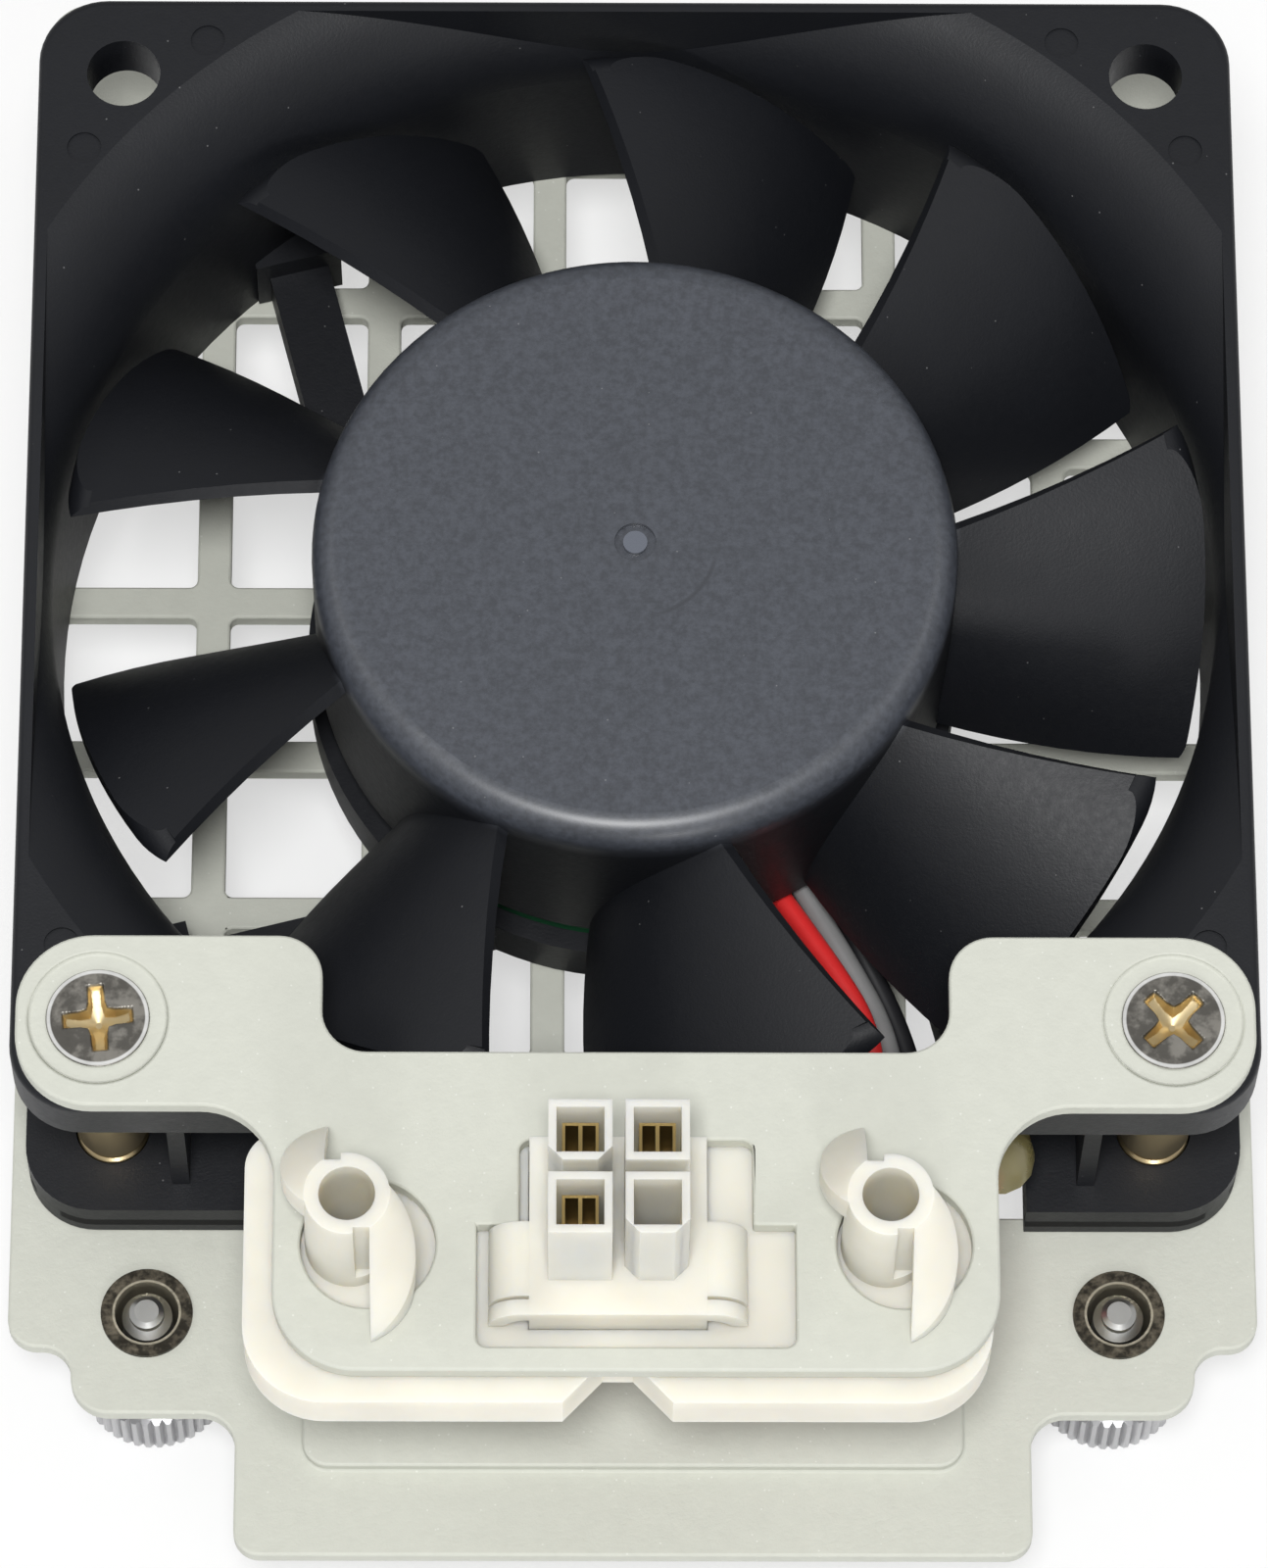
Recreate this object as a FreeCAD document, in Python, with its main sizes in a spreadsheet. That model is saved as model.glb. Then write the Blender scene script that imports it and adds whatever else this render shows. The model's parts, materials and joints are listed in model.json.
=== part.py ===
"""Server fan module: a 70 mm axial fan on a grille faceplate with a floating blind-mate connector.

Frame: millimetres, +Z along the fan axis towards the air inlet, +X to the right, -Y towards the
connector.  The origin lies on the fan axis in the inner face of the faceplate, against which the
chassis wall bears.  Air leaves through the grille towards -Z.

Every piece is an object of this document whose sizes are bound to the sheet "Dimensions".
"""
import FreeCAD, Part
import math
import os
import re
import Sketcher

doc = FreeCAD.newDocument("server_fan_module")

# --------------------------------------------------------------------------- driving dimensions
SIZES = [
    # fan frame
    ("fan_width", 70, "square fan frame, side"),
    ("fan_depth", 20, "fan frame, flange face to flange face"),
    ("frame_corner", 4, "corner radius of the frame"),
    ("flange", 3.7, "thickness of each flange"),
    ("hole_edge", 5.0, "fastening holes, from the sides of the frame"),
    ("fan_hole", 4.3, "fastening holes, diameter"),
    ("pilot_hole", 3.8, "holes for the fan screws in the outlet flange, diameter"),
    ("bore_edge", 1.2, "air duct, from the sides of the frame"),
    ("tunnel_wall", 1.05, "wall of the air duct"),
    ("inlet_depth", 7.5, "depth of the flared inlet"),
    ("flare_radius", 7.78, "radius of the inlet flare"),
    ("rim_wall", 0.8, "flat wall left where the flare meets a side of the frame"),
    ("rib_inset", 4.0, "upright rib, inwards from the fastening hole"),
    ("rib_thickness", 1.0, "upright rib, thickness"),
    ("rib_set_back", 1.6, "upright rib, back from the edge of the flange"),
    ("rib_length", 12, "upright rib, length from its outer edge into the duct"),
    ("frame_round", 0.5, "rounding along the outer edges of the frame"),
    ("mark_radius", 1.0, "moulding mark beside a hole, radius"),
    ("mark_depth", 0.15, "moulding mark, depth"),
    ("mark_aside", 4.9, "moulding marks beside the near and far sides, inwards from the hole"),
    ("mark_out", 2.2, "moulding marks, outwards from the hole"),
    ("notch_inset", 7.4, "wire notch, right side inwards from the fastening hole"),
    ("notch_width", 10.2, "wire notch, width"),
    ("notch_top", 5.6, "wire notch, height"),
    # motor base and struts, moulded with the frame
    ("base_radius", 19.2, "motor base, radius"),
    ("base_lift", 0.3, "motor base and struts, clear of the faceplate"),
    ("base_floor", 1.0, "motor base, floor thickness"),
    ("base_height", 3.5, "motor base, height"),
    ("base_rim_wall", 1.2, "motor base, rim thickness"),
    ("ledge_height", 1.6, "motor base, ledge under the board above the floor"),
    ("board_ledge", 1.4, "motor base, ledge width"),
    ("socket_wall", 1.2, "collar of the base round the bearing tube, thickness"),
    ("socket_height", 1.4, "collar of the base round the bearing tube, height"),
    ("strut_width", 3.6, "strut, width"),
    ("strut_height", 3.0, "strut, height"),
    ("strut_offset", 13.1, "strut centre line, distance from the axis"),
    ("strut_lean", 14.5, "strut, angle to the frame"),
    ("strut_count", 4, "struts"),
    ("foot_width", 5.2, "strut foot at the duct wall, width"),
    ("foot_height", 4.7, "strut foot, height"),
    ("foot_length", 2.8, "strut foot, length inside the duct wall"),
    ("strut_set_back", 2.6, "struts, end short of the sides of the frame"),
    # impeller
    ("hub_radius", 18.6, "hub, outer radius"),
    ("hub_drop", 0.4, "hub, top face below the inlet face"),
    ("hub_height", 13.6, "hub, height"),
    ("hub_wall", 1.6, "hub, wall"),
    ("hub_rim", 1.7, "hub, radius of the rounded rim"),
    ("hub_boss", 3.0, "hub, radius of the boss on the shaft"),
    ("boss_depth", 1.4, "hub, boss below the top wall"),
    ("pip_radius", 0.7, "centre pip, radius"),
    ("pip_ring", 1.2, "ring groove round the pip, radius"),
    ("pip_depth", 0.3, "ring groove, depth"),
    ("shaft_cover", 0.8, "hub, material left above the shaft"),
    ("blade_count", 9, "blades"),
    ("tip_gap", 0.7, "running gap between the blades and the duct"),
    ("blade_drop", 2.1, "leading edge, below the top of the hub"),
    ("blade_rise", 0.6, "trailing edge, above the skirt of the hub"),
    ("blade_thick", 1.3, "blade, thickness at mid chord"),
    ("blade_edge", 0.8, "blade, thickness at its edges"),
    ("tip_round", 1.5, "blade tip, corner radius"),
    ("root_depth", 1.4, "first blade section, inside the hub's surface"),
    ("root_lead", 1.5, "first section, leading edge offset"),
    ("root_trail", 5.2, "first section, trailing edge offset"),
    ("root_camber", 1.1, "first section, camber height"),
    ("mid_reach", 6.4, "middle blade section, outside the hub's surface"),
    ("mid_lead", 4.9, "middle section, leading edge offset"),
    ("mid_trail", 7.1, "middle section, trailing edge offset"),
    ("mid_camber", 1.5, "middle section, camber height"),
    ("tip_over", 1.4, "last blade section, distance past the tip"),
    ("tip_lead", 10.4, "last section, leading edge offset"),
    ("tip_trail", 7.7, "last section, trailing edge offset"),
    ("tip_camber", 1.7, "last section, camber height"),
    # rotor
    ("yoke_wall", 1.0, "steel yoke, wall"),
    ("yoke_set_back", 0.5, "steel yoke, above the skirt of the hub"),
    ("magnet_wall", 1.6, "ring magnet, wall"),
    ("magnet_set_back", 0.8, "ring magnet, above the skirt of the hub"),
    ("magnet_height", 7.8, "ring magnet, height"),
    ("shaft_radius", 1.5, "shaft, radius"),
    ("shaft_stub", 0.45, "shaft, below its clip"),
    ("clip_groove", 1.2, "shaft groove for the clip, radius"),
    ("clip_radius", 2.4, "shaft clip, outer radius"),
    ("clip_sheet", 0.4, "shaft clip, thickness"),
    ("clip_gap", 0.15, "shaft clip, below the bearing"),
    ("preload_radius", 1.95, "preload spring, mean radius"),
    ("preload_wire", 0.3, "preload spring, wire diameter"),
    ("preload_turns", 2.5, "preload spring, turns"),
    # bearings and stator
    ("bearing_radius", 4.0, "ball bearing, outer radius"),
    ("bearing_height", 3.2, "ball bearing, height"),
    ("ring_wall", 0.8, "bearing ring, wall"),
    ("ball_radius", 0.6, "bearing ball, radius"),
    ("ball_play", 0.04, "bearing ball, clearance in its groove"),
    ("ball_count", 7, "balls in a bearing"),
    ("seat_rise", 1.7, "lower bearing, above the floor of the base"),
    ("upper_gap", 1.6, "upper bearing, below the boss of the hub"),
    ("tube_wall", 1.0, "bearing tube, wall"),
    ("tube_step", 0.5, "bearing tube, shoulder between the bearings"),
    ("tube_rim", 0.2, "bearing tube, rim above the upper bearing"),
    ("air_gap", 0.4, "between stator and magnet"),
    ("core_rise", 1.0, "stator core, above the skirt of the hub"),
    ("core_height", 6.0, "stator core, height"),
    ("core_back", 2.0, "stator core, ring behind the teeth"),
    ("core_shoe", 1.2, "stator core, thickness of a tooth's shoe"),
    ("tooth_half", 2.5, "stator tooth, half width"),
    ("slot_half", 1.1, "gap between two shoes, half width"),
    ("insulation", 0.6, "insulator, wall"),
    ("coil_build", 1.6, "winding, thickness on the tooth"),
    ("coil_play", 0.05, "winding, clearance on the insulator"),
    ("coil_round", 1.1, "winding, rounding"),
    ("board_sheet", 0.8, "motor board, thickness"),
    ("board_play", 0.3, "motor board, clearance in the base"),
    # faceplate
    ("plate_margin", 1.0, "faceplate, wider than the fan on each side"),
    ("plate_sheet", 1.2, "faceplate, thickness"),
    ("far_margin", 10.5, "faceplate, far edge from the fan"),
    ("plate_corner", 3.0, "faceplate, far corner radius"),
    ("step_margin", 7.0, "faceplate, side step from the fan"),
    ("step_depth", 3.7, "faceplate, depth of the side step"),
    ("step_round", 1.7, "faceplate, radii of the step"),
    ("shoulder_margin", 11.0, "faceplate, shoulder beside the tab from the fan"),
    ("shoulder_round", 2.2, "faceplate, shoulder corner radius"),
    ("tab_half", 22.8, "faceplate tab, half width"),
    ("tab_margin", 19.5, "faceplate tab, near edge from the fan"),
    ("tab_fillet", 2.0, "faceplate, inner corner of the tab"),
    ("tab_corner", 1.5, "faceplate, outer corner of the tab"),
    ("grille_pitch", 10, "grille windows, centre to centre"),
    ("window", 8, "grille window, side"),
    ("window_round", 0.5, "grille window, corner radius"),
    ("emboss_half", 18.9, "embossed pad, half width"),
    ("emboss_near_margin", 14.4, "embossed pad, near edge from the fan"),
    ("emboss_far_margin", 2.2, "embossed pad, far edge from the fan"),
    ("emboss_rise", 0.8, "embossed pad, height"),
    ("emboss_inset", 0.8, "embossed pad, inset of the hollow behind it"),
    ("emboss_round", 1.5, "embossed pad, corner radius"),
    # captive thumbscrews
    ("screw_inset", 7.0, "captive screws, inwards from the sides of the fan"),
    ("screw_margin", 5.0, "captive screws, from the fan"),
    ("ferrule_radius", 2.65, "retainer, flange radius"),
    ("ferrule_rise", 0.3, "retainer, flange thickness"),
    ("ferrule_body", 2.3, "retainer, sleeve radius"),
    ("ferrule_bore", 1.85, "retainer, bore radius"),
    ("ferrule_reach", 4.6, "retainer, sleeve below the faceplate"),
    ("ferrule_lip", 3.0, "retainer, outer lip radius"),
    ("ferrule_lip_height", 0.5, "retainer, outer lip thickness"),
    ("knob_radius", 4.35, "knob, radius"),
    ("knob_gap", 5.7, "knob, below the faceplate when retracted"),
    ("knob_height", 4.6, "knob, height"),
    ("knob_bore", 3.4, "knob, radius of the spring pocket"),
    ("knob_floor", 1.6, "knob, floor under the spring pocket"),
    ("knob_chamfer", 0.35, "knob, chamfer"),
    ("knurl_count", 40, "knurls"),
    ("knurl_depth", 0.28, "knurls, depth"),
    ("captive_radius", 1.45, "captive screw, radius"),
    ("captive_tip", 0.5, "captive screw, tip above the faceplate when retracted"),
    ("captive_dog", 1.0, "captive screw, radius of the pilot end"),
    ("captive_dog_length", 0.7, "captive screw, length of the pilot end"),
    ("spring_radius", 2.75, "knob spring, mean radius"),
    ("spring_wire", 0.4, "knob spring, wire diameter"),
    ("spring_turns", 4.5, "knob spring, turns"),
    ("spring_play", 0.05, "knob spring, clearance at its ends"),
    ("recess_arm", 1.6, "driver recess, half length"),
    ("recess_half", 0.45, "driver recess, half width"),
    ("recess_depth", 0.9, "driver recess, depth"),
    # fasteners of the fan
    ("standoff_radius", 2.05, "standoff, radius"),
    ("standoff_foot", 2.6, "standoff, radius of the foot clinched in the faceplate"),
    ("standoff_drop", 0.1, "standoff, below the bracket"),
    ("standoff_bore", 1.25, "standoff, thread bore radius"),
    ("standoff_bore_depth", 10, "standoff, thread bore depth"),
    ("standoff_mouth", 0.6, "standoff, chamfer of the mouth"),
    ("fan_screw_head", 4.0, "fan screw, head radius"),
    ("fan_screw_length", 4.4, "fan screw, length"),
    # connector bracket
    ("bracket_sheet", 1.2, "bracket, thickness"),
    ("ear_side", 4.6, "bracket, side of the ears from the hole"),
    ("ear_far_reach", 5.0, "bracket, far edge of the ears from the hole"),
    ("ear_near_reach", 5.2, "bracket, near edge of the ears from the hole"),
    ("ear_width", 17.1, "bracket, width of the ears"),
    ("ear_corner", 4.3, "bracket, outer corners of the ears"),
    ("ear_inner_round", 2.5, "bracket, inner corners of the ears"),
    ("waist_reach", 1.95, "bracket, edge between the ears from the holes"),
    ("bracket_half", 20.05, "bracket, half width of the deck"),
    ("deck_near", 8.3, "bracket, near edge from the connector"),
    ("bracket_sweep", 4.2, "bracket, inner corners beside the deck"),
    ("bracket_corner", 4.7, "bracket, near corners"),
    ("cut_far_reach", 5.2, "cut-out, far edge from the connector"),
    ("cut_step_reach", 0.2, "cut-out, step beside the connector"),
    ("cut_near_reach", 6.9, "cut-out, near edge from the connector"),
    ("cut_half_far", 6.45, "cut-out, half width of the far part"),
    ("cut_half_near", 8.8, "cut-out, half width of the near part"),
    ("cut_round", 0.6, "cut-out, corner radius"),
    ("post_reach", 0.9, "guide posts, nearer than the connector"),
    ("post_spacing", 29.6, "guide posts, centre to centre"),
    ("float_hole", 3.75, "bracket, radius of the holes round the guide posts"),
    ("flat_head", 2.9, "bracket screw, head radius"),
    ("flat_screw_length", 8, "bracket screw, length"),
    ("dimple_radius", 3.9, "bracket, dimple round a screw head, radius"),
    ("dimple_depth", 0.15, "bracket, dimple depth"),
    # floating connector
    ("float_x", 1.0, "carrier, float to each side"),
    ("float_rest_y", 0.4, "carrier, resting offset towards the fan"),
    ("carrier_play", 0.1, "carrier, clearance under and over the bracket"),
    ("carrier_half", 20.7, "carrier, half width"),
    ("carrier_near_reach", 10.1, "carrier, near edge from the connector"),
    ("carrier_far_reach", 5.8, "carrier, far edge from the connector"),
    ("carrier_sheet", 3.3, "carrier, thickness"),
    ("carrier_corner", 4.5, "carrier, corner radius"),
    ("skirt_depth", 3.0, "carrier, skirt under the plate"),
    ("skirt_wall", 1.2, "carrier, wall of the skirt"),
    ("vee_outer", 3.05, "carrier, notch half width at the edge"),
    ("vee_inner", 0.85, "carrier, notch half width inside"),
    ("vee_depth", 2.3, "carrier, notch depth"),
    ("post_radius", 2.5, "guide post, radius at the foot"),
    ("post_tip_radius", 2.35, "guide post, radius at the top"),
    ("post_height", 6.8, "guide post, above the bracket"),
    ("post_bore", 1.55, "guide post, bore radius"),
    ("post_bore_depth", 9.0, "guide post, bore depth"),
    ("wing_reach", 6.4, "snap wing, reach of its foot from the post's axis"),
    ("wing_face", 1.25, "snap wing, flat side from the post's axis"),
    ("wing_belly", 3.6, "snap wing, round side from the post's axis"),
    ("wing_root", 2.3, "snap wing, depth of its root on the post"),
    ("wing_thick", 1.0, "snap wing, thickness at its foot"),
    ("slot_face", 0.35, "slot beside a wing, from the post's axis"),
    ("slot_floor", 1.95, "slot beside a wing, flat floor from the post's axis"),
    ("pitch", 4.2, "terminals, centre to centre"),
    ("connector_margin", 7.4, "middle of the four terminals, from the fan"),
    ("cell_side", 3.5, "terminal cell, side"),
    ("cell_hole", 2.6, "terminal cell, opening"),
    ("cell_key", 0.8, "keyed terminal cells, cut of the near corners"),
    ("cell_height", 8.8, "terminal cells, above the bracket"),
    ("collar_half", 4.9, "connector housing, half width"),
    ("collar_far_reach", 4.55, "connector housing, far side from the middle"),
    ("collar_near_reach", 5.85, "connector housing, near side from the middle"),
    ("collar_rise", 1.1, "connector housing, body above the bracket"),
    ("housing_height", 18.0, "connector housing, whole height"),
    ("housing_play", 0.05, "connector housing, clearance in the carrier"),
    ("tongue_reach", 2.25, "spring tongue, reach"),
    ("tongue_drop", 1.9, "spring tongue, drop"),
    ("tongue_thick", 0.9, "spring tongue, thickness"),
    ("tongue_width", 1.1, "spring tongue, width of the near one"),
    ("tongue_gap", 0.2, "spring tongues, width of that gap"),
    ("terminal_side", 2.4, "terminal, outside"),
    ("terminal_bore", 1.8, "terminal, opening"),
    ("terminal_sink", 0.7, "terminal, mouth below the top of its cell"),
    ("terminal_length", 17.1, "terminal, whole length"),
    ("crimp_length", 2.0, "terminal, length of the crimp"),
    ("crimp_radius", 0.75, "terminal, crimp radius"),
    ("contact_depth", 8.0, "terminal, depth of the opening"),
    ("wire_radius", 0.65, "wires, radius"),
    ("wire_lane", 1.5, "wires, centre to centre"),
    ("sleeve_bore", 2.3, "wire sleeve, bore radius"),
    ("sleeve_wall", 0.4, "wire sleeve, wall"),
    ("sleeve_length", 4.2, "wire sleeve, length"),
    ("sleeve_low", 6.8, "wire sleeve, lower end"),
    ("sleeve_aside", 8.3, "wire sleeve, inwards from the captive screw"),
    ("sleeve_margin", 3.4, "wire sleeve, from the fan"),
    ("wire_gap", 0.4, "wires, upper end below the crimp"),
]

sheet = doc.addObject("Spreadsheet::Sheet", "Dimensions")
for row, (alias, number, meaning) in enumerate(SIZES, start=1):
    sheet.set(f"A{row}", meaning)
    sheet.set(f"B{row}", str(number))
    sheet.setAlias(f"B{row}", alias)
doc.recompute()

# places and outlines that several pieces share, each worked out from the sizes
PLACES = {
    "fan_edge": "fan_width / 2",
    "half_pitch": "fan_width / 2 - hole_edge",
    "bore_radius": "fan_width / 2 - bore_edge",
    "duct_outer": "bore_radius + tunnel_wall",
    "flare_mouth": "bore_radius + flare_radius - sqrt(flare_radius^2 - inlet_depth^2)",
    "rib_x": "half_pitch - rib_inset",
    "notch_right": "half_pitch - notch_inset",
    "strut_end": "fan_edge - strut_set_back",
    "base_top": "base_lift + base_floor",
    "base_rim": "base_lift + base_height",
    "socket_top": "base_top + socket_height",
    "board_seat": "base_top + ledge_height",
    "hub_top": "fan_depth - hub_drop",
    "hub_skirt": "hub_top - hub_height",
    "hub_ceiling": "hub_top - hub_wall",
    "boss_low": "hub_ceiling - boss_depth",
    "blade_tip": "bore_radius - tip_gap",
    "blade_top": "hub_top - blade_drop",
    "blade_bottom": "hub_skirt + blade_rise",
    "yoke_outer": "hub_radius - hub_wall",
    "yoke_inner": "yoke_outer - yoke_wall",
    "magnet_inner": "yoke_inner - magnet_wall",
    "magnet_low": "hub_skirt + magnet_set_back",
    "core_outer": "magnet_inner - air_gap",
    "core_low": "hub_skirt + core_rise",
    "core_high": "core_low + core_height",
    "tube_outer": "bearing_radius + tube_wall",
    "lower_bearing": "base_top + seat_rise",
    "upper_bearing": "boss_low - upper_gap - bearing_height",
    "upper_bearing_top": "upper_bearing + bearing_height",
    "tube_top": "upper_bearing_top + tube_rim",
    "clip_top": "lower_bearing - clip_gap",
    "shaft_end": "clip_top - clip_sheet - shaft_stub",
    "plate_half": "fan_edge + plate_margin",
    "plate_far": "fan_edge + far_margin",
    "step_x": "plate_half - step_depth",
    "step_y": "fan_edge + step_margin",
    "shoulder_y": "fan_edge + shoulder_margin",
    "tab_y": "fan_edge + tab_margin",
    "emboss_near": "fan_edge + emboss_near_margin",
    "emboss_far": "fan_edge + emboss_far_margin",
    "screw_x": "fan_edge - screw_inset",
    "screw_y": "fan_edge + screw_margin",
    "knob_top": "-plate_sheet - knob_gap",
    "knob_low": "knob_top - knob_height",
    "pocket_floor": "knob_low + knob_floor",
    "spring_seat": "-plate_sheet - ferrule_lip_height",
    "standoff_top": "fan_depth - standoff_drop",
    "bracket_top": "fan_depth + bracket_sheet",
    "ear_half": "half_pitch + ear_side",
    "ear_inner": "ear_half - ear_width",
    "ear_far": "half_pitch - ear_far_reach",
    "ear_near": "half_pitch + ear_near_reach",
    "waist_y": "half_pitch + waist_reach",
    "cell_y": "fan_edge + connector_margin",
    "bracket_near": "cell_y + deck_near",
    "cut_far": "cell_y - cut_far_reach",
    "cut_step": "cell_y - cut_step_reach",
    "cut_near": "cell_y + cut_near_reach",
    "post_y": "cell_y + post_reach",
    "post_x": "post_spacing / 2",
    "post_top": "bracket_top + post_height",
    "wing_foot": "bracket_top + carrier_play",
    "carrier_near": "cell_y + carrier_near_reach",
    "carrier_far": "cell_y - carrier_far_reach",
    "carrier_top": "fan_depth - carrier_play",
    "carrier_low": "carrier_top - carrier_sheet",
    "collar_far": "cell_y - collar_far_reach",
    "collar_near": "cell_y + collar_near_reach",
    "collar_top": "bracket_top + collar_rise",
    "cell_top": "bracket_top + cell_height",
    "housing_low": "cell_top - housing_height",
    "tongue_split": "collar_near - tongue_width",
    "terminal_top": "cell_top - terminal_sink",
    "terminal_low": "terminal_top - terminal_length",
    "crimp_top": "terminal_low + crimp_length",
    "wire_end": "terminal_low - wire_gap",
    "sleeve_x": "fan_edge - screw_inset - sleeve_aside",
    "sleeve_y": "fan_edge + sleeve_margin",
}
STEPS_IN_TURN = 12
ALIASES = {alias for alias, _, _ in SIZES}


def bound(text):
    """An expression in which every place is worked out and every size refers to its cell."""
    def put(word):
        name = word.group()
        if name in PLACES:
            return f"({bound(PLACES[name])})"
        return f"Dimensions.{name}" if name in ALIASES else name
    return re.sub(r"(?<![\w.])[a-z]\w*", put, text)


def size(text):
    """The present value of an expression."""
    return float(sheet.evalExpression(bound(text)))


pieces = []


# --------------------------------------------------------------------------- drawing helpers
def new_body(label, x="0", y="0", z="0", keep=True):
    """A PartDesign body with a bound place; `keep` lists it among the pieces that are written."""
    body = doc.addObject("PartDesign::Body", label)
    body.Label = label
    for axis, text in zip("xyz", (x, y, z)):
        body.setExpression(f"Placement.Base.{axis}", bound(text))
    if keep:
        pieces.append(body)
    return body


def drawing_on(body, plane="XY_Plane", lift="0", turn=None):
    """A sketch on one of the body's own planes, `lift` along its normal and turned in its plane."""
    flat = next(item for item in body.Origin.OriginFeatures if item.Role == plane)
    drawing = body.newObject("Sketcher::SketchObject", "Sketch")
    drawing.AttachmentSupport = [(flat, "")]
    drawing.MapMode = "FlatFace"
    drawing.setExpression("AttachmentOffset.Base.z", bound(lift))
    if turn is not None:
        drawing.AttachmentOffset = FreeCAD.Placement(
            FreeCAD.Vector(0, 0, size(lift)), FreeCAD.Rotation(FreeCAD.Vector(0, 0, 1), size(turn)))
        drawing.setExpression("AttachmentOffset.Rotation.Angle", bound(turn))
    return drawing


def pin(drawing, geometry, point, place):
    """Fix one point of a sketch by its two bound coordinates."""
    for kind, text in zip(("DistanceX", "DistanceY"), place):
        rule = Sketcher.Constraint(kind, -1, 1, geometry, point, size(text))
        number = drawing.addConstraint(rule)
        drawing.setExpression(f"Constraints[{number}]", bound(text))


def arc_through(start, middle, stop):
    """An arc and the numbers of its ends in walking order; sketches keep arcs anticlockwise."""
    curve = Part.Arc(start, middle, stop).toShape().Curve
    centre = curve.Center
    first, last = (math.atan2(p.y - centre.y, p.x - centre.x) for p in (start, stop))
    walked_left = (middle - start).cross(stop - middle).z > 0
    if not walked_left:
        first, last = last, first
    plain = Part.Circle(centre, FreeCAD.Vector(0, 0, 1), curve.Radius)
    arc = Part.ArcOfCircle(plain, first, last if last > first else last + 2 * math.pi)
    return arc, (1, 2) if walked_left else (2, 1)


def closed_line(drawing, corners, bends=None):
    """A closed outline through bound corners; side k is an arc where `bends` gives a point on it."""
    bends = bends or {}
    points = [FreeCAD.Vector(size(x), size(y), 0) for x, y in corners]
    first = drawing.GeometryCount
    ends = []
    for number, start in enumerate(points):
        stop = points[(number + 1) % len(points)]
        side, order = Part.LineSegment(start, stop), (1, 2)
        if number in bends:
            across, up = bends[number]
            side, order = arc_through(start, FreeCAD.Vector(size(across), size(up), 0), stop)
        drawing.addGeometry(side, False)
        ends.append(order)
    rules = []
    for number in range(len(points)):
        after = (number + 1) % len(points)
        rules.append(Sketcher.Constraint(
            "Coincident", first + number, ends[number][1], first + after, ends[after][0]))
    drawing.addConstraint(rules)
    for number, corner in enumerate(corners):
        pin(drawing, first + number, ends[number][0], corner)
    for number, (across, up) in bends.items():
        mark = drawing.addGeometry(Part.Point(FreeCAD.Vector(size(across), size(up), 0)), True)
        drawing.addConstraint(Sketcher.Constraint("PointOnObject", mark, 1, first + number))
        pin(drawing, mark, 1, (across, up))


def rectangle(drawing, low_x, low_y, high_x, high_y):
    closed_line(drawing, [(low_x, low_y), (high_x, low_y), (high_x, high_y), (low_x, high_y)])


def circle(drawing, radius, x="0", y="0"):
    middle = FreeCAD.Vector(size(x), size(y), 0)
    round_line = drawing.addGeometry(
        Part.Circle(middle, FreeCAD.Vector(0, 0, 1), size(radius)), False)
    number = drawing.addConstraint(Sketcher.Constraint("Radius", round_line, size(radius)))
    drawing.setExpression(f"Constraints[{number}]", bound(radius))
    pin(drawing, round_line, 3, (x, y))


def extruded(body, kind, drawing, length, reverse=False):
    """A Pad or a Pocket of a drawing; a Pocket cuts against the drawing's normal."""
    feature = body.newObject(f"PartDesign::{kind}", kind)
    feature.Profile = drawing
    feature.Type = "Length"
    feature.Reversed = reverse
    feature.setExpression("Length", bound(length))
    return feature


def pad(body, drawing, length, reverse=False):
    return extruded(body, "Pad", drawing, length, reverse)


def pocket(body, drawing, depth, reverse=False):
    """A Pocket that must take material away, or the build stops."""
    doc.recompute()
    before = body.Shape.Volume
    feature = extruded(body, "Pocket", drawing, depth, reverse)
    doc.recompute()
    if body.Shape.Volume > before - 1e-6:
        raise RuntimeError(f"{body.Label}: {feature.Name} cuts nothing")
    return feature


def turned_feature(body, drawing, kind="Revolution"):
    """A Revolution or a Groove round the drawing's upright axis."""
    feature = body.newObject(f"PartDesign::{kind}", kind)
    feature.Profile = drawing
    feature.ReferenceAxis = (drawing, ["V_Axis"])
    feature.Angle = 360
    return feature


def turned(label, profile, bends=None, x="0", y="0", keep=True):
    """A body turned from a profile of (radius, height) corners round an upright axis at x, y."""
    body = new_body(label, x, y, keep=keep)
    drawing = drawing_on(body, "XZ_Plane")
    closed_line(drawing, profile, bends)
    turned_feature(body, drawing)
    return body


def round_uprights(body, feature, radius, spots):
    """A fillet on the upright edges that stand at the given spots of the body."""
    doc.recompute()
    wanted = [(size(x), size(y)) for x, y in spots]
    names = []
    for number, edge in enumerate(feature.Shape.Edges, start=1):
        low, high = edge.Vertexes[0].Point, edge.Vertexes[-1].Point
        upright = math.hypot(low.x - high.x, low.y - high.y) < 1e-6 and abs(low.z - high.z) > 1e-6
        if upright and any(math.hypot(low.x - x, low.y - y) < 1e-4 for x, y in wanted):
            names.append(f"Edge{number}")
    if len(names) < len(wanted):
        raise RuntimeError(f"{body.Label}: {len(names)} edges for {len(wanted)} spots")
    fillet = body.newObject("PartDesign::Fillet", "Fillet")
    fillet.Base = (feature, names)
    fillet.setExpression("Radius", bound(radius))
    return fillet


def level_edges(feature, heights):
    """Names of the edges of a feature that lie at the given heights."""
    levels = [size(height) for height in heights]
    names = []
    for number, edge in enumerate(feature.Shape.Edges, start=1):
        box = edge.BoundBox
        if box.ZLength < 1e-6 and any(abs(box.ZMin - level) < 1e-6 for level in levels):
            names.append(f"Edge{number}")
    return names


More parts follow.
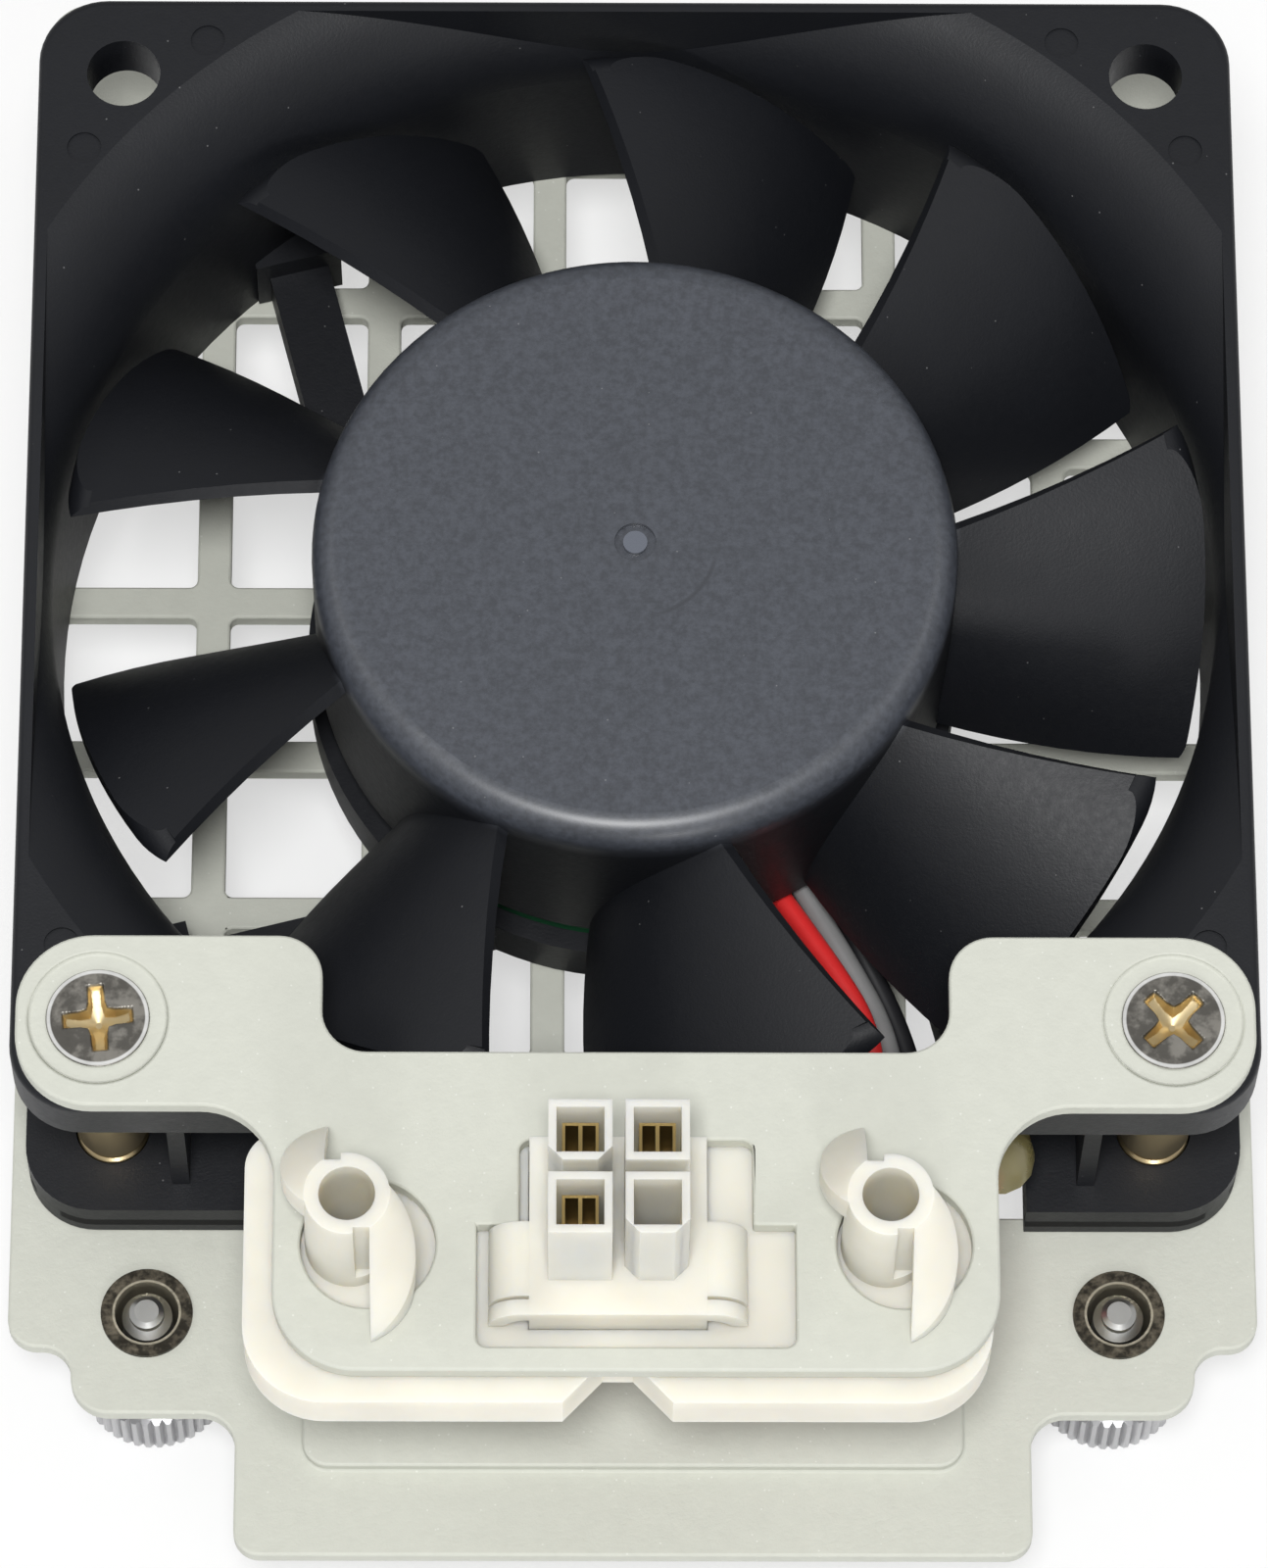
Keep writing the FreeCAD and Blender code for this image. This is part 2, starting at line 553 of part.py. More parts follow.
def around_axis(body, originals, count):
    """Copies of features round the body's upright axis."""
    pattern = body.newObject("PartDesign::PolarPattern", "PolarPattern")
    axis = next(item for item in body.Origin.OriginFeatures if item.Role == "Z_Axis")
    pattern.Originals = originals
    pattern.Axis = (axis, [""])
    pattern.Angle = 360
    pattern.setExpression("Occurrences", bound(count))
    body.Tip = pattern
    return pattern


def grid(body, original, columns, rows, reach_x, reach_y):
    """Copies of a feature in rows and columns."""
    axes = {item.Role: item for item in body.Origin.OriginFeatures}
    pattern = body.newObject("PartDesign::LinearPattern", "LinearPattern")
    pattern.Originals = [original]
    pattern.Direction = (axes["X_Axis"], [""])
    pattern.Occurrences = columns
    pattern.setExpression("Length", bound(reach_x))
    pattern.Direction2 = (axes["Y_Axis"], [""])
    pattern.Occurrences2 = rows
    pattern.setExpression("Length2", bound(reach_y))
    body.Tip = pattern
    return pattern


def cone_cut(body, x, y, low, low_radius, high, high_radius):
    """A countersink between two heights, as a grooved cone on its own axis."""
    cone = body.newObject("PartDesign::SubtractiveCone", "Countersink")
    flat = next(item for item in body.Origin.OriginFeatures if item.Role == "XY_Plane")
    cone.AttachmentSupport = [(flat, "")]
    cone.MapMode = "FlatFace"
    for axis, text in zip("xyz", (x, y, low)):
        cone.setExpression(f"AttachmentOffset.Base.{axis}", bound(text))
    cone.setExpression("Radius1", bound(low_radius))
    cone.setExpression("Radius2", bound(high_radius))
    cone.setExpression("Height", bound(f"{high} - ({low})"))
    return cone


def cross_recess(body, face, upwards):
    """A cross-shaped driver recess in the face at the given height of a turned fastener."""
    arm, half = "recess_arm", "recess_half"
    drawing = drawing_on(body, lift=face)
    closed_line(drawing, [
        (arm, f"-{half}"), (arm, half), (half, half), (half, arm), (f"-{half}", arm),
        (f"-{half}", half), (f"-{arm}", half), (f"-{arm}", f"-{half}"), (f"-{half}", f"-{half}"),
        (f"-{half}", f"-{arm}"), (half, f"-{arm}"), (half, f"-{half}")])
    pocket(body, drawing, "recess_depth", reverse=not upwards)


def combined(kind, label, base, tool):
    """A Part boolean of two objects as a finished piece."""
    result = doc.addObject(f"Part::{kind}", label)
    result.Label = label
    result.Base = base
    result.Tool = tool
    pieces.append(result)
    return result


def grouped(label, members):
    """Identical separate solids that share one piece."""
    group = doc.addObject("Part::Compound", label)
    group.Label = label
    group.Links = members
    pieces.append(group)
    return group


def shaped(label, shape):
    """A piece whose shape comes from Part's own functions."""
    feature = doc.addObject("Part::Feature", label)
    feature.Label = label
    feature.Shape = shape
    pieces.append(feature)
    return feature


# --------------------------------------------------------------------------- faceplate
def make_faceplate():
    """Punched and embossed sheet: grille, screw holes, stepped outline and connector tab."""
    body = new_body("faceplate")
    drawing = drawing_on(body, lift="-plate_sheet")
    closed_line(drawing, [
        ("plate_half", "plate_far"), ("-plate_half", "plate_far"), ("-plate_half", "-step_y"),
        ("-step_x", "-step_y"), ("-step_x", "-shoulder_y"), ("-tab_half", "-shoulder_y"),
        ("-tab_half", "-tab_y"), ("tab_half", "-tab_y"), ("tab_half", "-shoulder_y"),
        ("step_x", "-shoulder_y"), ("step_x", "-step_y"), ("plate_half", "-step_y")])
    sheet_metal = pad(body, drawing, "plate_sheet")
    for radius, x, y in (("plate_corner", "plate_half", "plate_far"),
                         ("step_round", "plate_half", "-step_y"),
                         ("step_round", "step_x", "-step_y"),
                         ("shoulder_round", "step_x", "-shoulder_y"),
                         ("tab_fillet", "tab_half", "-shoulder_y"),
                         ("tab_corner", "tab_half", "-tab_y")):
        sheet_metal = round_uprights(body, sheet_metal, radius, [(x, y), (f"-{x}", y)])

    drawing = drawing_on(body, lift="0")
    rectangle(drawing, "-emboss_half", "-emboss_near", "emboss_half", "-emboss_far")
    raised = pad(body, drawing, "emboss_rise")
    corners = [(x, y) for x in ("emboss_half", "-emboss_half")
               for y in ("-emboss_near", "-emboss_far")]
    round_uprights(body, raised, "emboss_round", corners)
    drawing = drawing_on(body, lift="-plate_sheet")
    rectangle(drawing, "emboss_inset - emboss_half", "emboss_inset - emboss_near",
              "emboss_half - emboss_inset", "-emboss_far - emboss_inset")
    pocket(body, drawing, "emboss_rise", reverse=True)

    # five full columns of seven windows, then the two outer columns without their corners
    for column, row, columns, rows, reach in ((2, 3, 5, 7, "4 * grille_pitch"),
                                              (3, 2, 2, 5, "6 * grille_pitch")):
        left, low = f"-{column} * grille_pitch", f"-{row} * grille_pitch"
        drawing = drawing_on(body)
        rounded_window(drawing, left, low)
        opening = pocket(body, drawing, "plate_sheet")
        grid(body, opening, columns, rows, reach, f"{2 * row} * grille_pitch")

    drawing = drawing_on(body)
    for side in ("-", ""):
        circle(drawing, "ferrule_body", f"{side}screw_x", "-screw_y")
        circle(drawing, "standoff_foot", f"{side}half_pitch", "-half_pitch")
    pocket(body, drawing, "plate_sheet")
    for side in ("-", ""):
        cone_cut(body, f"{side}half_pitch", "half_pitch", "-plate_sheet", "fan_screw_head",
                 "0", "pilot_hole / 2")
    return body


def rounded_window(drawing, x, y):
    """A square window with round corners centred at x, y."""
    near, far = "window / 2 - window_round", "window / 2"
    bend = "(window / 2 - window_round + window_round * sqrt(0.5))"
    steps = [(far, f"-({near})"), (far, near), (near, far), (f"-({near})", far),
             (f"-({far})", near), (f"-({far})", f"-({near})"), (f"-({near})", f"-({far})"),
             (near, f"-({far})")]
    signs = {1: ("", ""), 3: ("-", ""), 5: ("-", "-"), 7: ("", "-")}
    closed_line(drawing, [(f"{x} + {a}", f"{y} + {b}") for a, b in steps],
                {side: (f"{x} + {a}{bend}", f"{y} + {b}{bend}") for side, (a, b) in signs.items()})


# --------------------------------------------------------------------------- fan frame
def make_fan_frame():
    """Moulded square frame: flanges, duct with flared inlet, four swept struts and motor base."""
    body = new_body("frame_moulding", keep=False)
    drawing = drawing_on(body)
    rectangle(drawing, "-fan_edge", "-fan_edge", "fan_edge", "fan_edge")
    block = pad(body, drawing, "fan_depth")
    corners = [(x, y) for x in ("fan_edge", "-fan_edge") for y in ("fan_edge", "-fan_edge")]
    block = round_uprights(body, block, "frame_corner", corners)
    doc.recompute()
    soft = body.newObject("PartDesign::Fillet", "Fillet")
    soft.Base = (block, level_edges(block, ("0", "fan_depth")))
    soft.setExpression("Radius", bound("frame_round"))

    # between the flanges only the round duct stands
    drawing = drawing_on(body, lift="fan_depth - flange")
    rectangle(drawing, "-fan_edge - 1", "-fan_edge - 1", "fan_edge + 1", "fan_edge + 1")
    circle(drawing, "duct_outer")
    pocket(body, drawing, "fan_depth - 2 * flange")
    outer = "(fan_edge - rib_set_back)"
    for side in ("-", ""):
        for across in ("-", ""):
            drawing = drawing_on(body, lift="flange")
            rectangle(drawing, f"{side}rib_x - rib_thickness / 2", f"{across}({outer} - rib_length)",
                      f"{side}rib_x + rib_thickness / 2", f"{across}{outer}")
            pad(body, drawing, "fan_depth - 2 * flange")
    drawing = drawing_on(body, lift="fan_depth")
    circle(drawing, "bore_radius")
    pocket(body, drawing, "fan_depth")

    # fastening holes, and the marks beside them in the inlet face
    for lift, y, radius, depth in (("fan_depth", "-half_pitch", "fan_hole / 2", "fan_depth"),
                                   ("fan_depth", "half_pitch", "fan_hole / 2", "flange"),
                                   ("flange", "half_pitch", "pilot_hole / 2", "flange")):
        drawing = drawing_on(body, lift=lift)
        for x in ("half_pitch", "-half_pitch"):
            circle(drawing, radius, x, y)
        pocket(body, drawing, depth)
    drawing = drawing_on(body, lift="fan_depth")
    inwards, outwards = "(half_pitch - mark_aside)", "(half_pitch + mark_out)"
    for side in ("-", ""):
        for across in ("-", ""):
            circle(drawing, "mark_radius", f"{side}{inwards}", f"{across}{outwards}")
            circle(drawing, "mark_radius", f"{side}{outwards}", f"{across}{inwards}")
    pocket(body, drawing, "mark_depth")

    # wire notch through the lower flange and the duct wall
    drawing = drawing_on(body, lift="notch_top")
    rectangle(drawing, "notch_right - notch_width", "-fan_edge - 1", "notch_right",
              "-bore_radius * 0.7")
    pocket(body, drawing, "notch_top")
    add_motor_base(body)

    # the flare, cut short where it would break through the sides of the frame
    flare = new_body("flare", keep=False)
    drawing = drawing_on(flare, "XZ_Plane")
    low, mouth = "(fan_depth - inlet_depth)", "flare_mouth"
    lean = "(bore_radius + flare_radius * (1 - sqrt(1 - (inlet_depth / flare_radius / 2)^2)))"
    closed_line(drawing, [("0", low), ("bore_radius", low), (mouth, "fan_depth"),
                          (mouth, "fan_depth + 1"), ("0", "fan_depth + 1")],
                {1: (lean, f"{low} + inlet_depth / 2")})
    turned_feature(flare, drawing)
    core = doc.addObject("Part::Box", "flare_limit")
    for name, text in (("Length", "fan_width - 2 * rim_wall"), ("Width", "fan_width - 2 * rim_wall"),
                       ("Height", "inlet_depth + 2")):
        core.setExpression(name, bound(text))
    for axis, text in zip("xyz", ("rim_wall - fan_edge", "rim_wall - fan_edge",
                                  "fan_depth - inlet_depth - 0.5")):
        core.setExpression(f"Placement.Base.{axis}", bound(text))
    limited = doc.addObject("Part::Common", "inlet")
    limited.Base = flare
    limited.Tool = core
    return combined("Cut", "fan_frame", body, limited)


def add_motor_base(body):
    """The cup that carries the motor, and the struts that hold it, at the outlet side."""
    sunk = "(base_radius - 0.4)"
    left, right = "(strut_offset + strut_width / 2)", "(strut_offset - strut_width / 2)"
    drawing = drawing_on(body, lift="base_lift", turn="strut_lean")
    closed_line(drawing, [
        (f"-{left}", f"sqrt({sunk}^2 - {left}^2)"), (f"-{right}", f"sqrt({sunk}^2 - {right}^2)"),
        (f"-{right}", "strut_end"), (f"-{left}", "strut_end")])
    strut = pad(body, drawing, "strut_height")
    drawing = drawing_on(body, lift="base_lift", turn="strut_lean")
    rectangle(drawing, "-strut_offset - foot_width / 2", "strut_end - foot_length",
              "-strut_offset + foot_width / 2", "strut_end")
    foot = pad(body, drawing, "foot_height")
    around_axis(body, [strut, foot], "strut_count")

    drawing = drawing_on(body, "XZ_Plane")
    inner, socket = "(base_radius - base_rim_wall)", "tube_outer + socket_wall"
    closed_line(drawing, [
        ("0", "base_lift"), ("base_radius", "base_lift"), ("base_radius", "base_rim"),
        (inner, "base_rim"), (inner, "board_seat"), (f"{inner} - board_ledge", "board_seat"),
        (f"{inner} - board_ledge", "base_top"), (socket, "base_top"), (socket, "socket_top"),
        ("tube_outer", "socket_top"), ("tube_outer", "base_top"), ("0", "base_top")])
    turned_feature(body, drawing)


# --------------------------------------------------------------------------- impeller and rotor
def blade_section(body, plane, lead, trail, camber):
    """A thin cambered blade section in a plane across the blade's length."""
    drawing = drawing_on(body, "YZ_Plane", lift=plane)
    rise = "(blade_top - blade_bottom)"
    chord = f"sqrt(({lead} + {trail})^2 + {rise}^2)"
    aside, up = f"({rise} / {chord})", f"(({lead} + {trail}) / {chord})"

    def point(y, z, off):
        return f"{y} - {aside} * ({off})", f"{z} + {up} * ({off})"

    lead_y, lead_z, trail_y, trail_z = lead, "blade_top", f"-({trail})", "blade_bottom"
    middle_y, middle_z = f"({lead} - ({trail})) / 2", "(blade_top + blade_bottom) / 2"
    corners = [point(lead_y, lead_z, "-blade_edge / 2"), point(lead_y, lead_z, "blade_edge / 2"),
               point(trail_y, trail_z, "blade_edge / 2"), point(trail_y, trail_z, "-blade_edge / 2")]
    bends = {1: point(middle_y, middle_z, f"{camber} + blade_thick / 2"),
             3: point(middle_y, middle_z, f"{camber} - blade_thick / 2")}
    closed_line(drawing, corners, bends)
    return drawing


def make_impeller():
    """Cup-shaped hub with nine lofted, twisted blades whose tips are turned to the duct."""
    rim_bend = "hub_rim * (1 - sqrt(0.5))"
    hub = turned("hub", [
        ("0", "hub_top"), ("0", "hub_top - shaft_cover"), ("shaft_radius", "hub_top - shaft_cover"),
        ("shaft_radius", "boss_low"), ("hub_boss", "boss_low"), ("hub_boss", "hub_ceiling"),
        ("yoke_outer", "hub_ceiling"), ("yoke_outer", "hub_skirt"), ("hub_radius", "hub_skirt"),
        ("hub_radius", "hub_top - hub_rim"), ("hub_radius - hub_rim", "hub_top"),
        ("pip_ring", "hub_top"), ("pip_ring", "hub_top - pip_depth"),
        ("pip_radius", "hub_top - pip_depth"), ("pip_radius", "hub_top")],
        {9: (f"hub_radius - {rim_bend}", f"hub_top - {rim_bend}")}, keep=False)

    blade = new_body("blade", keep=False)
    root = blade_section(blade, "hub_radius - root_depth", "root_lead", "root_trail", "root_camber")
    middle = blade_section(blade, "hub_radius + mid_reach", "mid_lead", "mid_trail", "mid_camber")
    tip = blade_section(blade, "blade_tip + tip_over", "tip_lead", "tip_trail", "tip_camber")
    loft = blade.newObject("PartDesign::AdditiveLoft", "Loft")
    loft.Profile = root
    loft.Sections = [middle, tip]

    # the tip is turned to the duct's radius, with rounded corners
    drawing = drawing_on(blade, "XZ_Plane")
    beyond, top, low = "blade_tip + 6", "(blade_top + 0.1)", "(blade_bottom - 0.3)"
    inner, bend = "blade_tip - tip_round", "tip_round * (1 - sqrt(0.5))"
    closed_line(drawing, [
        (beyond, f"{top} + 2"), (inner, f"{top} + 2"), (inner, top),
        ("blade_tip", f"{top} - tip_round"), ("blade_tip", f"{low} + tip_round"), (inner, low),
        (inner, f"{low} - 2"), (beyond, f"{low} - 2")],
        {2: (f"blade_tip - {bend}", f"{top} - {bend}"), 4: (f"blade_tip - {bend}", f"{low} + {bend}")})
    turned_feature(blade, drawing, "Groove")

    impeller = doc.addObject("Part::MultiFuse", "impeller")
    impeller.Label = "impeller"
    impeller.Shapes = [hub] + spaced_round(blade, "blade_count")
    pieces.append(impeller)


def spaced_round(original, count):
    """Linked copies of an object, evenly spaced round the fan axis."""
    copies = []
    for number in range(int(size(count))):
        copy = doc.addObject("App::Link", "Copy")
        copy.LinkedObject = original
        turn = f"360 * {number} / {count}"
        copy.Placement = FreeCAD.Placement(
            FreeCAD.Vector(), FreeCAD.Rotation(FreeCAD.Vector(0, 0, 1), size(turn)))
        copy.setExpression("Placement.Rotation.Angle", bound(turn))
        copies.append(copy)
    return copies


def make_rotor():
    """Steel yoke, ring magnet, shaft with its clip and the preload spring inside the hub."""
    turned("rotor_yoke", [
        ("yoke_outer", "hub_skirt + yoke_set_back"), ("yoke_outer", "hub_ceiling"),
        ("hub_boss", "hub_ceiling"), ("hub_boss", "hub_ceiling - yoke_wall"),
        ("yoke_inner", "hub_ceiling - yoke_wall"), ("yoke_inner", "hub_skirt + yoke_set_back")])
    turned("rotor_magnet", [
        ("magnet_inner", "magnet_low"), ("yoke_inner", "magnet_low"),
        ("yoke_inner", "magnet_low + magnet_height"), ("magnet_inner", "magnet_low + magnet_height")])
    turned("rotor_shaft", [
        ("0", "shaft_end"), ("shaft_radius", "shaft_end"),
        ("shaft_radius", "clip_top - clip_sheet"), ("clip_groove", "clip_top - clip_sheet"),
        ("clip_groove", "clip_top"), ("shaft_radius", "clip_top"),
        ("shaft_radius", "hub_top - shaft_cover"), ("0", "hub_top - shaft_cover")])
    turned("shaft_clip", [
        ("clip_groove", "clip_top - clip_sheet"), ("clip_radius", "clip_top - clip_sheet"),
        ("clip_radius", "clip_top"), ("clip_groove", "clip_top")])
    shaped("preload_spring", coil(size("preload_radius"), size("preload_wire"),
                                  size("upper_bearing_top"), size("boss_low"), size("preload_turns")))


def coil(radius, wire, low, high, turns):
    """A spring between two heights on the upright axis, a hair short of both seats.

    The wire is six-sided and runs straight between a few points of each turn, which keeps its
    faces flat and few.
    """
    play = size("spring_play")
    start, height = low + wire / 2 + play, high - low - wire - 2 * play
    count = round(turns * STEPS_IN_TURN)
    points = []
    for number in range(count + 1):
        angle = 2 * math.pi * number / STEPS_IN_TURN
        points.append(FreeCAD.Vector(
            radius * math.cos(angle), radius * math.sin(angle), start + height * number / count))
    ring = Part.Circle(points[0], points[1] - points[0], wire / 2)
    corners = [ring.value(math.pi * side / 3) for side in range(6)]
    section = Part.makePolygon(corners + corners[:1])
    right_corners = 1
    return Part.makePolygon(points).makePipeShell([section], True, False, right_corners)


def make_bearing(name, low):
    """A ball bearing: outer ring, balls and inner ring, each running in round grooves."""
    middle = f"({low} + bearing_height / 2)"
    high = f"({low} + bearing_height)"
    pitch_radius = "((shaft_radius + bearing_radius) / 2)"
    groove = "(ball_radius + ball_play)"
    inner_face = "(shaft_radius + ring_wall)"
    outer_face = "(bearing_radius - ring_wall)"
    # where the groove's circle crosses the face of each ring
    reach_in = f"sqrt({groove}^2 - ({pitch_radius} - {inner_face})^2)"
    reach_out = f"sqrt({groove}^2 - ({outer_face} - {pitch_radius})^2)"
    turned(f"{name}_outer_ring", [
        (outer_face, low), ("bearing_radius", low), ("bearing_radius", high), (outer_face, high),
        (outer_face, f"{middle} + {reach_out}"), (outer_face, f"{middle} - {reach_out}")],
        {4: (f"{pitch_radius} + {groove}", middle)})
    turned(f"{name}_inner_ring", [
        ("shaft_radius", low), (inner_face, low), (inner_face, f"{middle} - {reach_in}"),
        (inner_face, f"{middle} + {reach_in}"), (inner_face, high), ("shaft_radius", high)],
        {2: (f"{pitch_radius} - {groove}", middle)})
    balls = []
    for number in range(int(size("ball_count"))):
        ball = doc.addObject("Part::Sphere", "Ball")
        ball.setExpression("Radius", bound("ball_radius"))
        turn = f"360 * {number} / ball_count"
        ball.setExpression("Placement.Base.x", bound(f"{pitch_radius} * cos({turn})"))
        ball.setExpression("Placement.Base.y", bound(f"{pitch_radius} * sin({turn})"))
        ball.setExpression("Placement.Base.z", bound(middle))
        balls.append(ball)
    grouped(f"{name}_balls", balls)


# --------------------------------------------------------------------------- stator
def toothed(label, low, height, half, back, inside, outside, keep=True):
    """A four-tooth lamination outline: back ring, teeth of a half width, and shoes."""
    body = new_body(label, keep=keep)
    drawing = drawing_on(body, lift=low)
    circle(drawing, outside)
    circle(drawing, "tube_outer")
    pad(body, drawing, height)
    top = f"{low} + {height}"
    drawing = drawing_on(body, lift=top)
    inner, outer = f"sqrt(({back})^2 - ({half})^2)", f"sqrt(({inside})^2 - ({half})^2)"
    closed_line(drawing, [(inner, half), (outer, half), (half, outer), (half, inner)],
                {1: (f"({inside}) * sqrt(0.5)", f"({inside}) * sqrt(0.5)"),
                 3: (f"({back}) * sqrt(0.5)", f"({back}) * sqrt(0.5)")})
    slot = pocket(body, drawing, height)
    drawing = drawing_on(body, lift=top)
    start, stop = f"({inside} - 0.4) * sqrt(0.5)", f"({outside} + 1) * sqrt(0.5)"
    wide = "slot_half * sqrt(0.5)"
    closed_line(drawing, [
        (f"{start} + {wide}", f"{start} - {wide}"), (f"{stop} + {wide}", f"{stop} - {wide}"),
        (f"{stop} - {wide}", f"{stop} + {wide}"), (f"{start} - {wide}", f"{start} + {wide}")])
    mouth = pocket(body, drawing, height)
    around_axis(body, [slot, mouth], "4")
    return body


def make_stator():
    """Bearing tube, laminated core, two insulator halves and four windings."""
    step = "(bearing_radius - tube_step)"
    lower_top = "(lower_bearing + bearing_height)"
    turned("bearing_tube", [
        ("bearing_radius", "base_top"), ("tube_outer", "base_top"), ("tube_outer", "tube_top"),
        ("bearing_radius", "tube_top"), ("bearing_radius", "upper_bearing"),
        (step, "upper_bearing"), (step, lower_top), ("bearing_radius", lower_top)])
    back = "tube_outer + core_back"
    inside = "core_outer - core_shoe"
    core = toothed("stator_core", "core_low", "(core_high - core_low)", "tooth_half", back, inside,
                   "core_outer")
    middle = "(core_low + core_high) / 2"
    for name, low in (("upper_insulator", middle), ("lower_insulator", "core_low - insulation")):
        height = "((core_high - core_low) / 2 + insulation)"
        shell = toothed(f"{name}_form", low, height, "tooth_half + insulation",
                        f"{back} + insulation", f"{inside} - insulation",
                        "core_outer - insulation", keep=False)
        combined("Cut", name, shell, core)

    # a winding fills its tooth between the back wall and the corners under the shoe
    body = new_body("stator_windings")
    half, low = "(tooth_half + insulation + coil_play)", "(core_low - insulation - coil_play)"
    high = "(core_high + insulation + coil_play)"
    start = f"({back} + insulation + coil_play)"
    stop = f"(sqrt(({inside} - 2 * insulation)^2 - ({half} + coil_build)^2) - coil_play)"
    drawing = drawing_on(body, "YZ_Plane", lift=start)
    length = f"{stop} - {start}"
    rectangle(drawing, f"-{half} - coil_build", f"{low} - coil_build", f"{half} + coil_build",
              f"{high} + coil_build")
    rectangle(drawing, f"-{half}", low, half, high)
    winding = pad(body, drawing, length)
    doc.recompute()
    names = []
    for number, edge in enumerate(winding.Shape.Edges, start=1):
        a, b = edge.Vertexes[0].Point, edge.Vertexes[-1].Point
        outer = abs(a.y) > size(f"{half} + coil_build / 2")
        if outer and abs(a.y - b.y) < 1e-6 and abs(a.z - b.z) < 1e-6:
            names.append(f"Edge{number}")
    soft = body.newObject("PartDesign::Fillet", "Fillet")
    soft.Base = (winding, names)
    soft.setExpression("Radius", bound("coil_round"))
    around_axis(body, [winding, soft], "4")


def make_board():
    """Motor driver board on the ledge of the base, with its chip, sensor and capacitors."""
    rim = "(base_radius - base_rim_wall - board_play)"
    body = new_body("motor_board")
    drawing = drawing_on(body, lift="board_seat")
    circle(drawing, rim)
    circle(drawing, "tube_outer + socket_wall + board_play")
    pad(body, drawing, "board_sheet")
    top = "board_seat + board_sheet"
    parts = []
    for name, x, y, wide, deep, high in (("driver_chip", -9.6, 9.6, 4.0, 3.6, 1.3),
                                         ("hall_sensor", 9.4, 9.4, 3.0, 1.6, 1.9),
                                         ("large_capacitor", -9.8, -9.4, 3.2, 1.8, 1.4),
                                         ("small_capacitor", -6.8, -12.8, 1.6, 0.9, 0.7)):
        chip = doc.addObject("Part::Box", name)
        chip.Length, chip.Width, chip.Height = wide, deep, high
        chip.setExpression("Placement.Base.x", bound(f"{x} - {wide} / 2"))
        chip.setExpression("Placement.Base.y", bound(f"{y} - {deep} / 2"))
        chip.setExpression("Placement.Base.z", bound(top))
        parts.append(chip)
    grouped("board_components", parts)


# --------------------------------------------------------------------------- fasteners
def make_fan_fasteners():
    """Clinched standoffs at the bracket side and self-tapping screws at the far side."""
    floor = "standoff_top - standoff_bore_depth"
    for name, side in (("left", "-"), ("right", "")):
        turned(f"{name}_standoff", [
            ("0", "-plate_sheet"), ("standoff_foot", "-plate_sheet"), ("standoff_foot", "0"),
            ("standoff_radius", "0"), ("standoff_radius", "standoff_top"),
            ("standoff_bore + standoff_mouth", "standoff_top"),
            ("standoff_bore", "standoff_top - standoff_mouth"),
            ("standoff_bore", floor), ("0", floor)],
            x=f"{side}half_pitch", y="-half_pitch")
    screws = []
    for side in ("-", ""):
        end = "(fan_screw_length - plate_sheet)"
        screw = turned("fan_screw", [
            ("0", "-plate_sheet"), ("fan_screw_head", "-plate_sheet"), ("pilot_hole / 2", "0"),
            ("pilot_hole / 2", f"{end} - pilot_hole / 4"), ("pilot_hole / 4", end), ("0", end)],
            x=f"{side}half_pitch", y="half_pitch", keep=False)
        cross_recess(screw, "-plate_sheet", upwards=False)
        screws.append(screw)
    grouped("fan_screws", screws)
    screws = []
    for side in ("-", ""):
        neck = "bracket_top - (flat_head - standoff_bore)"
        end = "bracket_top - flat_screw_length"
        screw = turned("bracket_screw", [
            ("0", end), ("standoff_bore - 0.4", end), ("standoff_bore", f"{end} + 0.4"),
            ("standoff_bore", neck), ("flat_head", "bracket_top"), ("0", "bracket_top")],
            x=f"{side}half_pitch", y="-half_pitch", keep=False)
        cross_recess(screw, "bracket_top", upwards=True)
        screws.append(screw)
    grouped("bracket_screws", screws)


